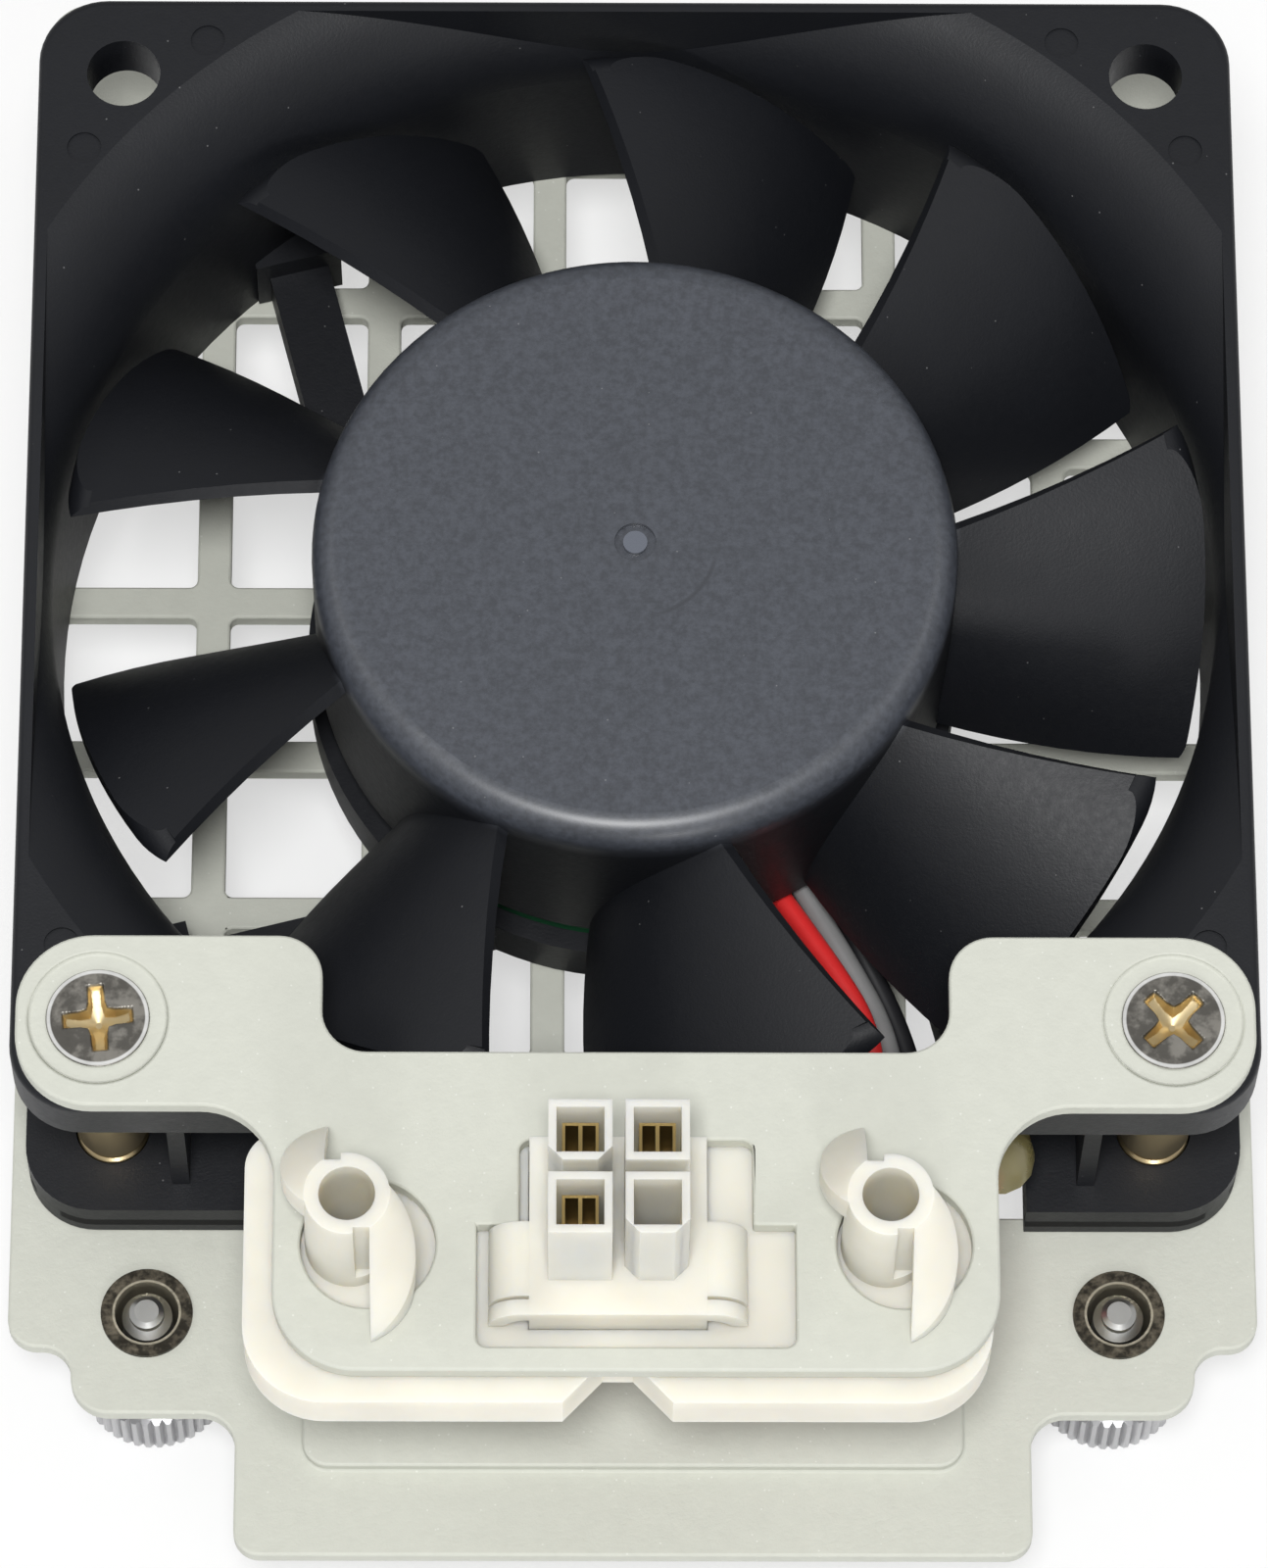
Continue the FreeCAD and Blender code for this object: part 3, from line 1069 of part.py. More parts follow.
def make_thumbscrew(name, side):
    """Retainer in the faceplate, and the knob, screw and spring that travel in it."""
    x, y = f"{side}screw_x", "-screw_y"
    turned(f"{name}_screw_retainer", [
        ("ferrule_bore", "ferrule_rise"), ("ferrule_bore", "-plate_sheet - ferrule_reach"),
        ("ferrule_body", "-plate_sheet - ferrule_reach"), ("ferrule_body", "spring_seat"),
        ("ferrule_lip", "spring_seat"), ("ferrule_lip", "-plate_sheet"),
        ("ferrule_body", "-plate_sheet"), ("ferrule_body", "0"), ("ferrule_radius", "0"),
        ("ferrule_radius", "ferrule_rise")], x=x, y=y)

    knob = turned(f"{name}_thumbscrew_knob", [
        ("captive_radius", "knob_low"), ("knob_radius - knob_chamfer", "knob_low"),
        ("knob_radius", "knob_low + knob_chamfer"), ("knob_radius", "knob_top - knob_chamfer"),
        ("knob_radius - knob_chamfer", "knob_top"), ("knob_bore", "knob_top"),
        ("knob_bore", "pocket_floor"), ("captive_radius", "pocket_floor")], x=x, y=y)
    drawing = drawing_on(knob, lift="knob_top")
    root, wide = "(knob_radius - knurl_depth)", "(knurl_depth * 0.95)"
    closed_line(drawing, [(root, "0"), ("knob_radius + 0.2", f"-{wide} - 0.1"),
                          ("knob_radius + 0.2", f"{wide} + 0.1")])
    knurl = pocket(knob, drawing, "knob_height")
    around_axis(knob, [knurl], "knurl_count")

    dog = "(captive_tip - captive_dog_length)"
    screw = turned(f"{name}_thumbscrew_screw", [
        ("0", "knob_low"), ("captive_radius", "knob_low"), ("captive_radius", f"{dog} - 0.3"),
        ("captive_dog", dog), ("captive_dog", "captive_tip - 0.2"),
        ("captive_dog - 0.3", "captive_tip"), ("0", "captive_tip")], x=x, y=y)
    slot = drawing_on(screw, lift="knob_low")
    rectangle(slot, "-captive_radius - 0.1", "-recess_half", "captive_radius + 0.1", "recess_half")
    pocket(screw, slot, "recess_depth", reverse=True)

    spring = coil(size("spring_radius"), size("spring_wire"), size("pocket_floor"),
                  size("spring_seat"), size("spring_turns"))
    shaped(f"{name}_thumbscrew_spring", spring).Placement = FreeCAD.Placement(
        FreeCAD.Vector(size(x), size(y), 0), FreeCAD.Rotation())


# --------------------------------------------------------------------------- connector bracket
def make_bracket():
    """Sheet bracket that spans the fan's near holes and carries the floating connector."""
    body = new_body("connector_bracket")
    drawing = drawing_on(body, lift="fan_depth")
    closed_line(drawing, [
        ("-ear_half", "-ear_far"), ("-ear_half", "-ear_near"), ("-bracket_half", "-ear_near"),
        ("-bracket_half", "-bracket_near"), ("bracket_half", "-bracket_near"),
        ("bracket_half", "-ear_near"), ("ear_half", "-ear_near"), ("ear_half", "-ear_far"),
        ("ear_inner", "-ear_far"), ("ear_inner", "-waist_y"), ("-ear_inner", "-waist_y"),
        ("-ear_inner", "-ear_far")])
    deck = pad(body, drawing, "bracket_sheet")
    for radius, x, y in (("ear_corner", "ear_half", "-ear_far"),
                         ("ear_corner", "ear_half", "-ear_near"),
                         ("bracket_sweep", "bracket_half", "-ear_near"),
                         ("bracket_corner", "bracket_half", "-bracket_near"),
                         ("ear_inner_round", "ear_inner", "-ear_far"),
                         ("ear_inner_round", "ear_inner", "-waist_y")):
        deck = round_uprights(body, deck, radius, [(x, y), (f"-{x}", y)])
    drawing = drawing_on(body, lift="bracket_top")
    closed_line(drawing, [
        ("-cut_half_far", "-cut_far"), ("-cut_half_far", "-cut_step"),
        ("-cut_half_near", "-cut_step"), ("-cut_half_near", "-cut_near"),
        ("cut_half_near", "-cut_near"), ("cut_half_near", "-cut_step"),
        ("cut_half_far", "-cut_step"), ("cut_half_far", "-cut_far")])
    window = pocket(body, drawing, "bracket_sheet")
    round_uprights(body, window, "cut_round",
                   [(x, y) for x, y in (("cut_half_near", "-cut_near"), ("-cut_half_near", "-cut_near"),
                                        ("cut_half_far", "-cut_far"), ("-cut_half_far", "-cut_far"))])
    drawing = drawing_on(body, lift="bracket_top")
    for side in ("-", ""):
        circle(drawing, "float_hole", f"{side}post_x", "-post_y")
    pocket(body, drawing, "bracket_sheet")
    drawing = drawing_on(body, lift="bracket_top")
    for side in ("-", ""):
        circle(drawing, "dimple_radius", f"{side}half_pitch", "-half_pitch")
    pocket(body, drawing, "dimple_depth")
    for side in ("-", ""):
        cone_cut(body, f"{side}half_pitch", "-half_pitch", "fan_depth",
                 "flat_head + 0.1 - bracket_sheet", "bracket_top", "flat_head + 0.1")


# --------------------------------------------------------------------------- floating connector
REST_X, REST_Y = "-float_x", "float_rest_y"


def make_carrier():
    """Moulded carrier that hangs under the bracket on two guide posts with snap wings."""
    body = new_body("carrier_moulding", REST_X, REST_Y, keep=False)
    drawing = drawing_on(body, lift="carrier_low")
    closed_line(drawing, [
        ("-carrier_half", "-carrier_far"), ("-carrier_half", "-carrier_near"),
        ("-vee_outer", "-carrier_near"), ("-vee_inner", "vee_depth - carrier_near"),
        ("vee_inner", "vee_depth - carrier_near"), ("vee_outer", "-carrier_near"),
        ("carrier_half", "-carrier_near"), ("carrier_half", "-carrier_far")])
    deck = pad(body, drawing, "carrier_sheet")
    for y, radius in (("-carrier_near", "carrier_corner"), ("-carrier_far", "carrier_corner / 2")):
        deck = round_uprights(body, deck, radius, [("carrier_half", y), ("-carrier_half", y)])
    wall = "housing_play + skirt_wall"
    drawing = drawing_on(body, lift="carrier_low")
    rectangle(drawing, f"-collar_half - {wall}", f"-collar_near - {wall}",
              f"collar_half + {wall}", f"-collar_far + {wall}")
    pad(body, drawing, "skirt_depth", reverse=True)
    drawing = drawing_on(body, lift="carrier_top")
    rectangle(drawing, "-collar_half - housing_play", "-collar_near - housing_play",
              "collar_half + housing_play", "-collar_far + housing_play")
    pocket(body, drawing, "carrier_sheet + skirt_depth")

    for side in ("-", ""):
        post = body.newObject("PartDesign::AdditiveCone", "Post")
        flat = next(item for item in body.Origin.OriginFeatures if item.Role == "XY_Plane")
        post.AttachmentSupport = [(flat, "")]
        post.MapMode = "FlatFace"
        for axis, text in zip("xyz", (f"{side}post_x", "-post_y", "carrier_top")):
            post.setExpression(f"AttachmentOffset.Base.{axis}", bound(text))
        post.setExpression("Radius1", bound("post_radius"))
        post.setExpression("Radius2", bound("post_tip_radius"))
        post.setExpression("Height", bound("post_top - carrier_top"))

    # flat slots beside the wings, then the bores
    drawing = drawing_on(body, lift="post_top")
    for side in ("-", ""):
        for way in ("-", ""):
            corners = (f"{side}post_x - {way}slot_face", f"{way}slot_floor - post_y",
                       f"{side}post_x - {way}(post_radius + 0.5)", f"{way}(post_radius + 0.5) - post_y")
            rectangle(drawing, *corners)
    pocket(body, drawing, "post_height")
    drawing = drawing_on(body, lift="post_top")
    for side in ("-", ""):
        circle(drawing, "post_bore", f"{side}post_x", "-post_y")
    pocket(body, drawing, "post_bore_depth")

    wing = make_wing()
    wings = []
    for side in ("-", ""):
        for turn in (0, 180):
            copy = doc.addObject("App::Link", "Wing")
            copy.LinkedObject = wing
            copy.Placement = FreeCAD.Placement(
                FreeCAD.Vector(), FreeCAD.Rotation(FreeCAD.Vector(0, 0, 1), turn))
            copy.setExpression("Placement.Base.x", bound(f"{side}post_x + {REST_X}"))
            copy.setExpression("Placement.Base.y", bound(f"{REST_Y} - post_y"))
            wings.append(copy)
    carrier = doc.addObject("Part::MultiFuse", "connector_carrier")
    carrier.Label = "connector_carrier"
    carrier.Shapes = [body] + wings
    pieces.append(carrier)


def make_wing():
    """A snap wing on the near side of a post at the origin: a slice of a flared bell."""
    wing = turned("wing", [
        ("post_bore + 0.2", "post_top"), ("post_tip_radius", "post_top"),
        ("wing_reach", "wing_foot + 0.3"), ("wing_reach", "wing_foot"),
        ("wing_reach - wing_thick", "wing_foot"), ("post_bore + 0.2", "post_top - wing_root")],
        {1: ("(post_tip_radius + wing_reach) / 2 + 0.4", "(post_top + wing_foot) / 2 + 0.4"),
         4: ("(post_bore + wing_reach - wing_thick) / 2 + 0.6",
             "(post_top - wing_root + wing_foot) / 2 + 0.4")}, keep=False)
    # all but a crescent between a flat side and a round side is cut away
    drawing = drawing_on(wing, lift="post_top + 1")
    far = "(wing_reach + 1)"
    rectangle(drawing, f"-{far}", f"-{far}", far, far)
    closed_line(drawing, [
        ("wing_face", "-0.6"), ("wing_face", "-sqrt(wing_reach^2 - wing_face^2) + 0.05"),
        ("post_tip_radius - 0.1", "0.5")],
        {1: ("wing_belly", "-wing_belly")})
    pocket(wing, drawing, "post_top + 1")
    return wing


def cell_places():
    """Centres of the four terminal cells when the carrier is centred."""
    return [(f"{a}pitch / 2", f"{b}pitch / 2 - cell_y") for a in ("-", "") for b in ("", "-")]


KEYED_CELLS = (0, 3)  # far left and near right


def make_housing():
    """Two by two connector housing: body, four cell towers and curved spring tongues."""
    body = new_body("connector_housing", REST_X, REST_Y)
    drawing = drawing_on(body, lift="housing_low")
    rectangle(drawing, "-collar_half", "-collar_near", "collar_half", "-collar_far")
    pad(body, drawing, "collar_top - housing_low")
    for number, (x, y) in enumerate(cell_places()):
        left, right = f"{x} - cell_side / 2", f"{x} + cell_side / 2"
        near, far = f"{y} - cell_side / 2", f"{y} + cell_side / 2"
        drawing = drawing_on(body, lift="collar_top")
        if number in KEYED_CELLS:
            closed_line(drawing, [(left, far), (left, f"{near} + cell_key"),
                                  (f"{left} + cell_key", near), (f"{right} - cell_key", near),
                                  (right, f"{near} + cell_key"), (right, far)])
        else:
            rectangle(drawing, left, near, right, far)
        pad(body, drawing, "cell_top - collar_top")
    drawing = drawing_on(body, lift="cell_top")
    for x, y in cell_places():
        rectangle(drawing, f"{x} - cell_hole / 2", f"{y} - cell_hole / 2",
                  f"{x} + cell_hole / 2", f"{y} + cell_hole / 2")
    pocket(body, drawing, "cell_top - housing_low")

    # tongues curve from the top edge of the body out and down into the bracket's cut-out
    for side in ("-", ""):
        for far, near in (("cut_step + float_rest_y + 0.2", "tongue_split"),
                          ("tongue_split + tongue_gap", "collar_near")):
            drawing = drawing_on(body, "XZ_Plane", lift=far)
            top, low = "collar_top - 0.1", "collar_top - tongue_drop"
            inner, outer = "collar_half - 0.3", "collar_half + tongue_reach"
            closed_line(drawing, [
                (f"{side}({inner})", f"{top} - tongue_thick"), (f"{side}({inner})", top),
                (f"{side}({outer})", low), (f"{side}({outer} - tongue_thick)", low)],
                {1: (f"{side}({outer} - tongue_reach * 0.27)", f"{top} - tongue_drop * 0.23"),
                 3: (f"{side}({outer} - tongue_thick - tongue_reach * 0.27)",
                     f"{top} - tongue_thick - tongue_drop * 0.12")})
            pad(body, drawing, f"{near} - ({far})")


def make_terminals():
    """Three crimped socket terminals; the fourth cell stays empty."""
    names = ("power_terminal", "ground_terminal", "speed_terminal")
    places = [cell_places()[number] for number in (0, 1, 2)]
    for name, (x, y) in zip(names, places):
        body = new_body(name, REST_X, REST_Y)
        drawing = drawing_on(body, lift="crimp_top")
        rectangle(drawing, f"{x} - terminal_side / 2", f"{y} - terminal_side / 2",
                  f"{x} + terminal_side / 2", f"{y} + terminal_side / 2")
        pad(body, drawing, "terminal_top - crimp_top")
        drawing = drawing_on(body, lift="terminal_top")
        rectangle(drawing, f"{x} - terminal_bore / 2", f"{y} - terminal_bore / 2",
                  f"{x} + terminal_bore / 2", f"{y} + terminal_bore / 2")
        pocket(body, drawing, "contact_depth")
        drawing = drawing_on(body, lift="terminal_low")
        circle(drawing, "crimp_radius", x, y)
        pad(body, drawing, "crimp_length")
    return places


# --------------------------------------------------------------------------- wires
def rounded_route(points):
    """Straight runs joined by tangent arcs, each as large as its two runs allow."""
    edges = []
    start = points[0]
    for before, corner, after in zip(points, points[1:], points[2:]):
        into, out = (before - corner), (after - corner)
        turn = math.pi - into.getAngle(out)
        cut = 0.45 * min(into.Length, out.Length)
        radius = cut / math.tan(turn / 2)
        first = corner + into.normalize() * cut
        last = corner + out.normalize() * cut
        inwards = (into + out).normalize()
        sagitta = radius / math.cos(turn / 2) - radius
        middle = corner + inwards * sagitta
        edges.append(Part.LineSegment(start, first).toShape())
        edges.append(Part.Arc(first, middle, last).toShape())
        start = last
    edges.append(Part.LineSegment(start, points[-1]).toShape())
    return Part.Wire(edges)


def make_wires(places):
    """Three leads from the board through the notch and a sleeve to the back of the connector."""
    board, lane = size("board_seat + board_sheet"), size("wire_lane")
    wall, edge = -size("duct_outer"), -size("fan_edge")
    post, end = -size("cell_y"), size("wire_end")
    bend_x, bend_y = size("sleeve_x"), -size("sleeve_y")
    sleeve_low, sleeve_high = size("sleeve_low"), size("sleeve_low + sleeve_length")
    notch = size("notch_right - notch_width + 2.8")
    # the middle line, and across which way the three leads lie side by side on it
    shared = [((notch - 6.4, wall + 21.0, board + 0.68), (0.80, 0.60)),
              ((notch - 3.2, wall + 15.6, board + 1.0), (0.86, 0.51)),
              ((notch - 0.3, wall + 10.4, board + 0.6), (0.97, 0.24)),
              ((notch, wall + 4.8, board - 0.4), (1, 0)),
              ((notch, edge - 0.4, board - 0.6), (1, 0)),
              ((notch + 2.0, bend_y - 0.4, board + 0.1), (0.50, 0.87)),
              ((bend_x, bend_y, sleeve_low - 1.2), (0, 1)),
              ((bend_x, bend_y, sleeve_high + 0.4), (0, 1)),
              ((bend_x - 2.6, bend_y - 0.6, sleeve_high + 2.4), (0.1, 1))]
    under = {"red_wire": [(5.0, post + 5.6, 9.2), (0.6, post + 5.2, 7.8)],
             "grey_wire": [(9.0, post + 0.6, 9.6), (2.6, post - 1.2, 8.2)],
             "black_wire": [(8.6, post + 3.0, 9.6)]}
    for name, number, (x, y) in zip(("red_wire", "grey_wire", "black_wire"), (1, -1, 0), places):
        route = []
        for (across, along, height), (lane_x, lane_y) in shared:
            aside = number * lane
            route.append(FreeCAD.Vector(across + aside * lane_x, along + aside * lane_y, height))
        route += [FreeCAD.Vector(*point) for point in under[name]]
        last_x, last_y = size(f"{x} + {REST_X}"), size(f"{y} + {REST_Y}")
        route.append(FreeCAD.Vector(last_x, last_y, end - 3.4))
        route.append(FreeCAD.Vector(last_x, last_y, end))
        path = rounded_route(route)
        section = Part.Wire(Part.makeCircle(size("wire_radius"), route[0], route[1] - route[0]))
        shaped(name, path.makePipeShell([section], True, True))

    body = new_body("wire_sleeve", "sleeve_x", "-sleeve_y")
    drawing = drawing_on(body, lift="sleeve_low")
    circle(drawing, "sleeve_bore + sleeve_wall")
    circle(drawing, "sleeve_bore")
    pad(body, drawing, "sleeve_length")


make_faceplate()
make_fan_frame()
make_impeller()
make_rotor()
make_bearing("lower_bearing", "lower_bearing")
make_bearing("upper_bearing", "upper_bearing")
make_stator()
make_board()
make_fan_fasteners()
make_thumbscrew("left", "-")
make_thumbscrew("right", "")
make_bracket()
make_carrier()
make_housing()
make_wires(make_terminals())
doc.recompute()

# --------------------------------------------------------------------------- check and write
for item in doc.Objects:
    if {"Invalid", "Error"} & set(item.State):
        raise RuntimeError(f"{item.Label} failed: {item.State}")
for piece in pieces:
    if piece.Shape.isNull() or not piece.Shape.isValid() or not piece.Shape.Solids:
        raise RuntimeError(f"{piece.Label} has no valid solid")

os.makedirs("parts", exist_ok=True)
for piece in pieces:
    piece.Shape.exportStep(f"parts/{piece.Label}.step")
print(len(pieces), "pieces written")
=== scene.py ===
# %% [markdown]
# # A server fan module
#
# The part is a 70 mm axial fan screwed to a steel faceplate, with a floating connector on a
# bracket.  Two sprung thumbscrews hold the module in its slot.  The frame that is loaded here
# already holds every piece as a plain body at its real size, and could be modelled again, but
# that would only add errors.  So this lesson keeps the bodies and adds what they lack:
# materials made from nodes, soft edges, wound springs, bent leads and fine details.

# %% Load the frame
import math

import bmesh
import bpy
import json
from mathutils import Matrix, Vector

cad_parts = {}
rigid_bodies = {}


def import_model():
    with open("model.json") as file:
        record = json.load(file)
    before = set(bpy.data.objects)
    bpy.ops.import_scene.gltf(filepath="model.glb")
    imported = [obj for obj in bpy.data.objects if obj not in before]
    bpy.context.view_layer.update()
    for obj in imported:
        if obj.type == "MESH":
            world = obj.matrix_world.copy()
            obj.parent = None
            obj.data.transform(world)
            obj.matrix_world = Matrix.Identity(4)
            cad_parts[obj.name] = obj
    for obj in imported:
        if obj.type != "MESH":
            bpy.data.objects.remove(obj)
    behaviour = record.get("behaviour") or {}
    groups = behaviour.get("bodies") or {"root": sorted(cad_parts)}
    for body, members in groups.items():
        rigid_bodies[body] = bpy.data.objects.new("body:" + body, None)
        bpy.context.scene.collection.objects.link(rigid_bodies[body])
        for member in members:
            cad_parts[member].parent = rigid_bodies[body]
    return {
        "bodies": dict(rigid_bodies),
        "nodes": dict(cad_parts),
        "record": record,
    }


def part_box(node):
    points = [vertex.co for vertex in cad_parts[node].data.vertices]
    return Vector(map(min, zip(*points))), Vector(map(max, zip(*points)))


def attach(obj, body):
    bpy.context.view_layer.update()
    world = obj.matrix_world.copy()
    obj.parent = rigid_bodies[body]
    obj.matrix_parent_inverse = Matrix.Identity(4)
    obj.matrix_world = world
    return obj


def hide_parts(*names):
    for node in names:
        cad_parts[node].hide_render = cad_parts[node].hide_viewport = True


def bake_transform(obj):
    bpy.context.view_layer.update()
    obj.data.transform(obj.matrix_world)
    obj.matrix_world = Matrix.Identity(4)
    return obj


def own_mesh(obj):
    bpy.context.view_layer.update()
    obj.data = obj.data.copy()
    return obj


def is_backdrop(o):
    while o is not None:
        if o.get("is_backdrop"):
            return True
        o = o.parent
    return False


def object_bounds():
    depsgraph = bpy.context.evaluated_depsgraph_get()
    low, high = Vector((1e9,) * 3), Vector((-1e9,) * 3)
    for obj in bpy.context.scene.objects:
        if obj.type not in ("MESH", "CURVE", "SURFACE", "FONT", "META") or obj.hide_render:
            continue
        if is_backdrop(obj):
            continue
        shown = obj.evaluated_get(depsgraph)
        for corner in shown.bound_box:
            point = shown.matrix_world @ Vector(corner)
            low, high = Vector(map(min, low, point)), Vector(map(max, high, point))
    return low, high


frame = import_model()
cad_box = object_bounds()
MM = 0.001
print("bodies:", ", ".join(sorted(frame["bodies"])))

# %% [markdown]
# The camera looks steeply down on the air inlet from the connector's side, through a long lens,
# so that the module's sides lean in only a little.  It could be turned by three angles.  Its
# directions are worked out as vectors instead, which shows what each number does.

# %% Camera
ELEVATION, AZIMUTH, ROLL = math.radians(66.9), math.radians(1.18), math.radians(1.23)
DISTANCE, AIM = 480 * MM, Vector((0, -11, 10)) * MM
SENSOR_WIDTH, FOCAL_LENGTH = 36, 235.4


def place_camera():
    forward = Vector((math.cos(ELEVATION) * math.sin(AZIMUTH),
                      math.cos(ELEVATION) * math.cos(AZIMUTH), -math.sin(ELEVATION)))
    level = Vector((math.cos(AZIMUTH), -math.sin(AZIMUTH), 0))
    rise = level.cross(forward)
    right = math.cos(ROLL) * level + math.sin(ROLL) * rise
    above = math.cos(ROLL) * rise - math.sin(ROLL) * level
    lens = bpy.data.cameras.new("camera")
    lens.sensor_fit = "HORIZONTAL"
    lens.sensor_width = SENSOR_WIDTH
    lens.lens = FOCAL_LENGTH
    lens.clip_start = 0.01
    camera = bpy.data.objects.new("camera", lens)
    turn = Matrix((right, above, -forward)).transposed().to_4x4()
    camera.matrix_world = Matrix.Translation(AIM - forward * DISTANCE) @ turn
    bpy.context.collection.objects.link(camera)
    bpy.context.scene.camera = camera


place_camera()
bpy.context.scene.view_settings.view_transform = "Standard"
print("camera stands", round(DISTANCE, 2), "m away")

# %% [markdown]
# A material is a tree of nodes, and its maths could be built one Math node at a time.  A sum is
# easier to read, so `Val` wraps a socket, and each operator adds the node that does it.


# %% Sums that become nodes
class Val:
    """A socket that can be used in a sum."""

    def __init__(self, finish, socket):
        self.finish, self.socket = finish, socket

    def maths(self, operation, *others):
        return self.finish.node("ShaderNodeMath", {"operation": operation}, (self, *others))

    def __add__(self, other):
        return self.maths("ADD", other)

    def __mul__(self, other):
        return self.maths("MULTIPLY", other)

    def __sub__(self, other):
        return self.maths("SUBTRACT", other)

    def __rsub__(self, other):
        return self.finish.node("ShaderNodeMath", {"operation": "SUBTRACT"}, (other, self))

    __radd__, __rmul__ = __add__, __mul__

    def over(self, low, high):
        """0 at or below low, 1 at or above high, and a straight ramp between."""
        return self.finish.node("ShaderNodeMapRange", {"clamp": True},
                                {"Value": self, "From Min": low, "From Max": high})


print("sockets can be summed")

# %% [markdown]
# `Finish` is one material with a Principled shader.  Its `node` method adds any node, and the
# small methods after it are the patterns that come back in many finishes: cloudy noise, random
# specks, a blend of two colours, and bumps.


# %% One material
FINISHES = {}


class Finish:
    """A material with a Principled shader, built by small calls."""

    def __init__(self, name, **sockets):
        self.name = name
        self.material = bpy.data.materials.new(name)
        self.material.use_nodes = True
        self.tree = self.material.node_tree
        self.shader = self.tree.nodes["Principled BSDF"]
        self.set(**sockets)

    def set(self, **sockets):
        for name, value in sockets.items():
            self.join(self.shader.inputs[name.replace("_", " ")], value)

    def keep(self):
        """Stores the material under its name, for the pieces that take it."""
        FINISHES[self.name] = self.material
        print(self.name, "has", len(self.tree.nodes), "nodes")

    def join(self, socket, value):
        if isinstance(value, Val):
            self.tree.links.new(value.socket, socket)
        elif socket.type == "RGBA" and len(value) == 3:
            socket.default_value = (*value, 1)
        else:
            socket.default_value = value

    def node(self, kind, settings=None, sockets=(), output=0):
        made = self.tree.nodes.new(kind)
        for name, value in (settings or {}).items():
            setattr(made, name, value)
        pairs = sockets.items() if isinstance(sockets, dict) else enumerate(sockets)
        for name, value in pairs:
            self.join(made.inputs[name], value)
        return Val(self, made.outputs[output])

    def place(self):
        return self.node("ShaderNodeTexCoord", output="Object")

    def axis(self, letter):
        return self.node("ShaderNodeSeparateXYZ", {}, (self.place(),), output=letter)

    def noise(self, size, detail, roughness):
        """Cloudy noise whose blotches are about `size` metres across."""
        return self.node("ShaderNodeTexNoise", {}, {"Vector": self.place(), "Scale": 1 / size,
                                                    "Detail": detail, "Roughness": roughness})

    def specks(self, spacing, radius):
        """1 inside small random dots, 0 between them."""
        cells = self.node("ShaderNodeTexVoronoi", {}, {"Vector": self.place(),
                                                       "Scale": 1 / spacing})
        return 1 - cells.over(radius / spacing * 0.7, radius / spacing)

    def blend(self, mask, first, second):
        mix = self.tree.nodes.new("ShaderNodeMix")
        mix.data_type = "RGBA"
        self.join(mix.inputs["Factor"], mask)
        self.join(mix.inputs[6], first)
        self.join(mix.inputs[7], second)
        return Val(self, mix.outputs[2])

    def shades(self, mask, colour, dark, pale):
        """A colour times `dark` where the mask is 0, and times `pale` where it is 1."""
        return self.blend(mask, [c * dark for c in colour], [min(1, c * pale) for c in colour])

    def bumps(self, height, distance, strength):
        return self.node("ShaderNodeBump", {}, {"Height": height, "Distance": distance,
                                                "Strength": strength})


print("finishes can be written")

# %% [markdown]
# The faceplate and the bracket are powder coated: paint is sprayed on as dust and melted, which
# leaves a fine sandy skin.  The skin could be modelled as dents, but grains this small would need
# millions of faces.  So two noises of different grain carry the bump, and a few pale specks are
# painted glints on the grains.


# %% Powder coat
def powder_coat(name, colour):
    finish = Finish(name)
    grain = finish.noise(0.35 * MM, 3, 0.6)
    sand = finish.noise(1.1 * MM, 2, 0.5)
    # Pale, less rough specks: painted glints.
    painted_glints = finish.specks(0.8 * MM, 0.07 * MM)
    finish.set(Base_Color=finish.blend(painted_glints * 0.22, finish.shades(sand, colour, 0.95, 1.04),
                                       (0.93, 0.94, 0.91)),
               Roughness=0.5 + grain * 0.2 - painted_glints * 0.1,
               Normal=finish.bumps(grain * 0.7 + sand * 0.3, 0.05 * MM, 0.8))
    finish.keep()


powder_coat("powder_coat", (0.525, 0.535, 0.475))

# %% [markdown]
# The connector and its carrier are nylon, which is milky: light enters it and comes out nearby.
# Paler paint would look chalky, so the shader scatters light under the surface.  The same
# function, without that, makes the opaque pieces inside the motor.


# %% Moulded plastics
def moulded(name, colour, grain_size, bump, rough=0.45, milky=0.0):
    finish = Finish(name, Subsurface_Weight=milky, Subsurface_Scale=2.5 * MM,
                    Subsurface_Radius=(1.0, 0.85, 0.6))
    grain = finish.noise(grain_size, 3, 0.6)
    cloud = finish.noise(6 * MM, 2, 0.5)
    finish.set(Base_Color=finish.shades(cloud, colour, 0.85, 1.15),
               Roughness=rough + grain * 0.15,
               Normal=finish.bumps(grain, bump, 0.7))
    finish.keep()


moulded("white_nylon", (0.71, 0.685, 0.605), 0.8 * MM, 0.012 * MM, rough=0.38, milky=0.7)
moulded("ferrite", (0.06, 0.055, 0.055), 0.3 * MM, 0.02 * MM, 0.6)
moulded("insulator_plastic", (0.62, 0.55, 0.38), 0.5 * MM, 0.01 * MM)
moulded("board", (0.03, 0.16, 0.07), 0.3 * MM, 0.01 * MM, 0.35)
moulded("component", (0.02, 0.02, 0.022), 0.2 * MM, 0.01 * MM)

# %% [markdown]
# The fan's black plastic comes from a mould that was eroded with sparks, coarser on the hub's
# cap, which looks grey.  A second material for the cap would leave a hard line.  Masks worked
# out from each point's place fade from one grain to the other.  The pip where the plastic
# entered the mould is a mask too, and two more masks paint shade in: a faint arc of painted
# shade round the pip, and a near-black band of painted shade along the lower flange's side.

# %% Masks on the fan
HUB_RADIUS, HUB_TOP = 18.7 * MM, 19.6 * MM
# The band's heights below mark where shade is painted along the lower flange's side.
FLANGE_EDGE, SHADE_BAND = 34.4 * MM, (1.2 * MM, 2.2 * MM)
SHADE_BAND_FADE = 0.15 * MM


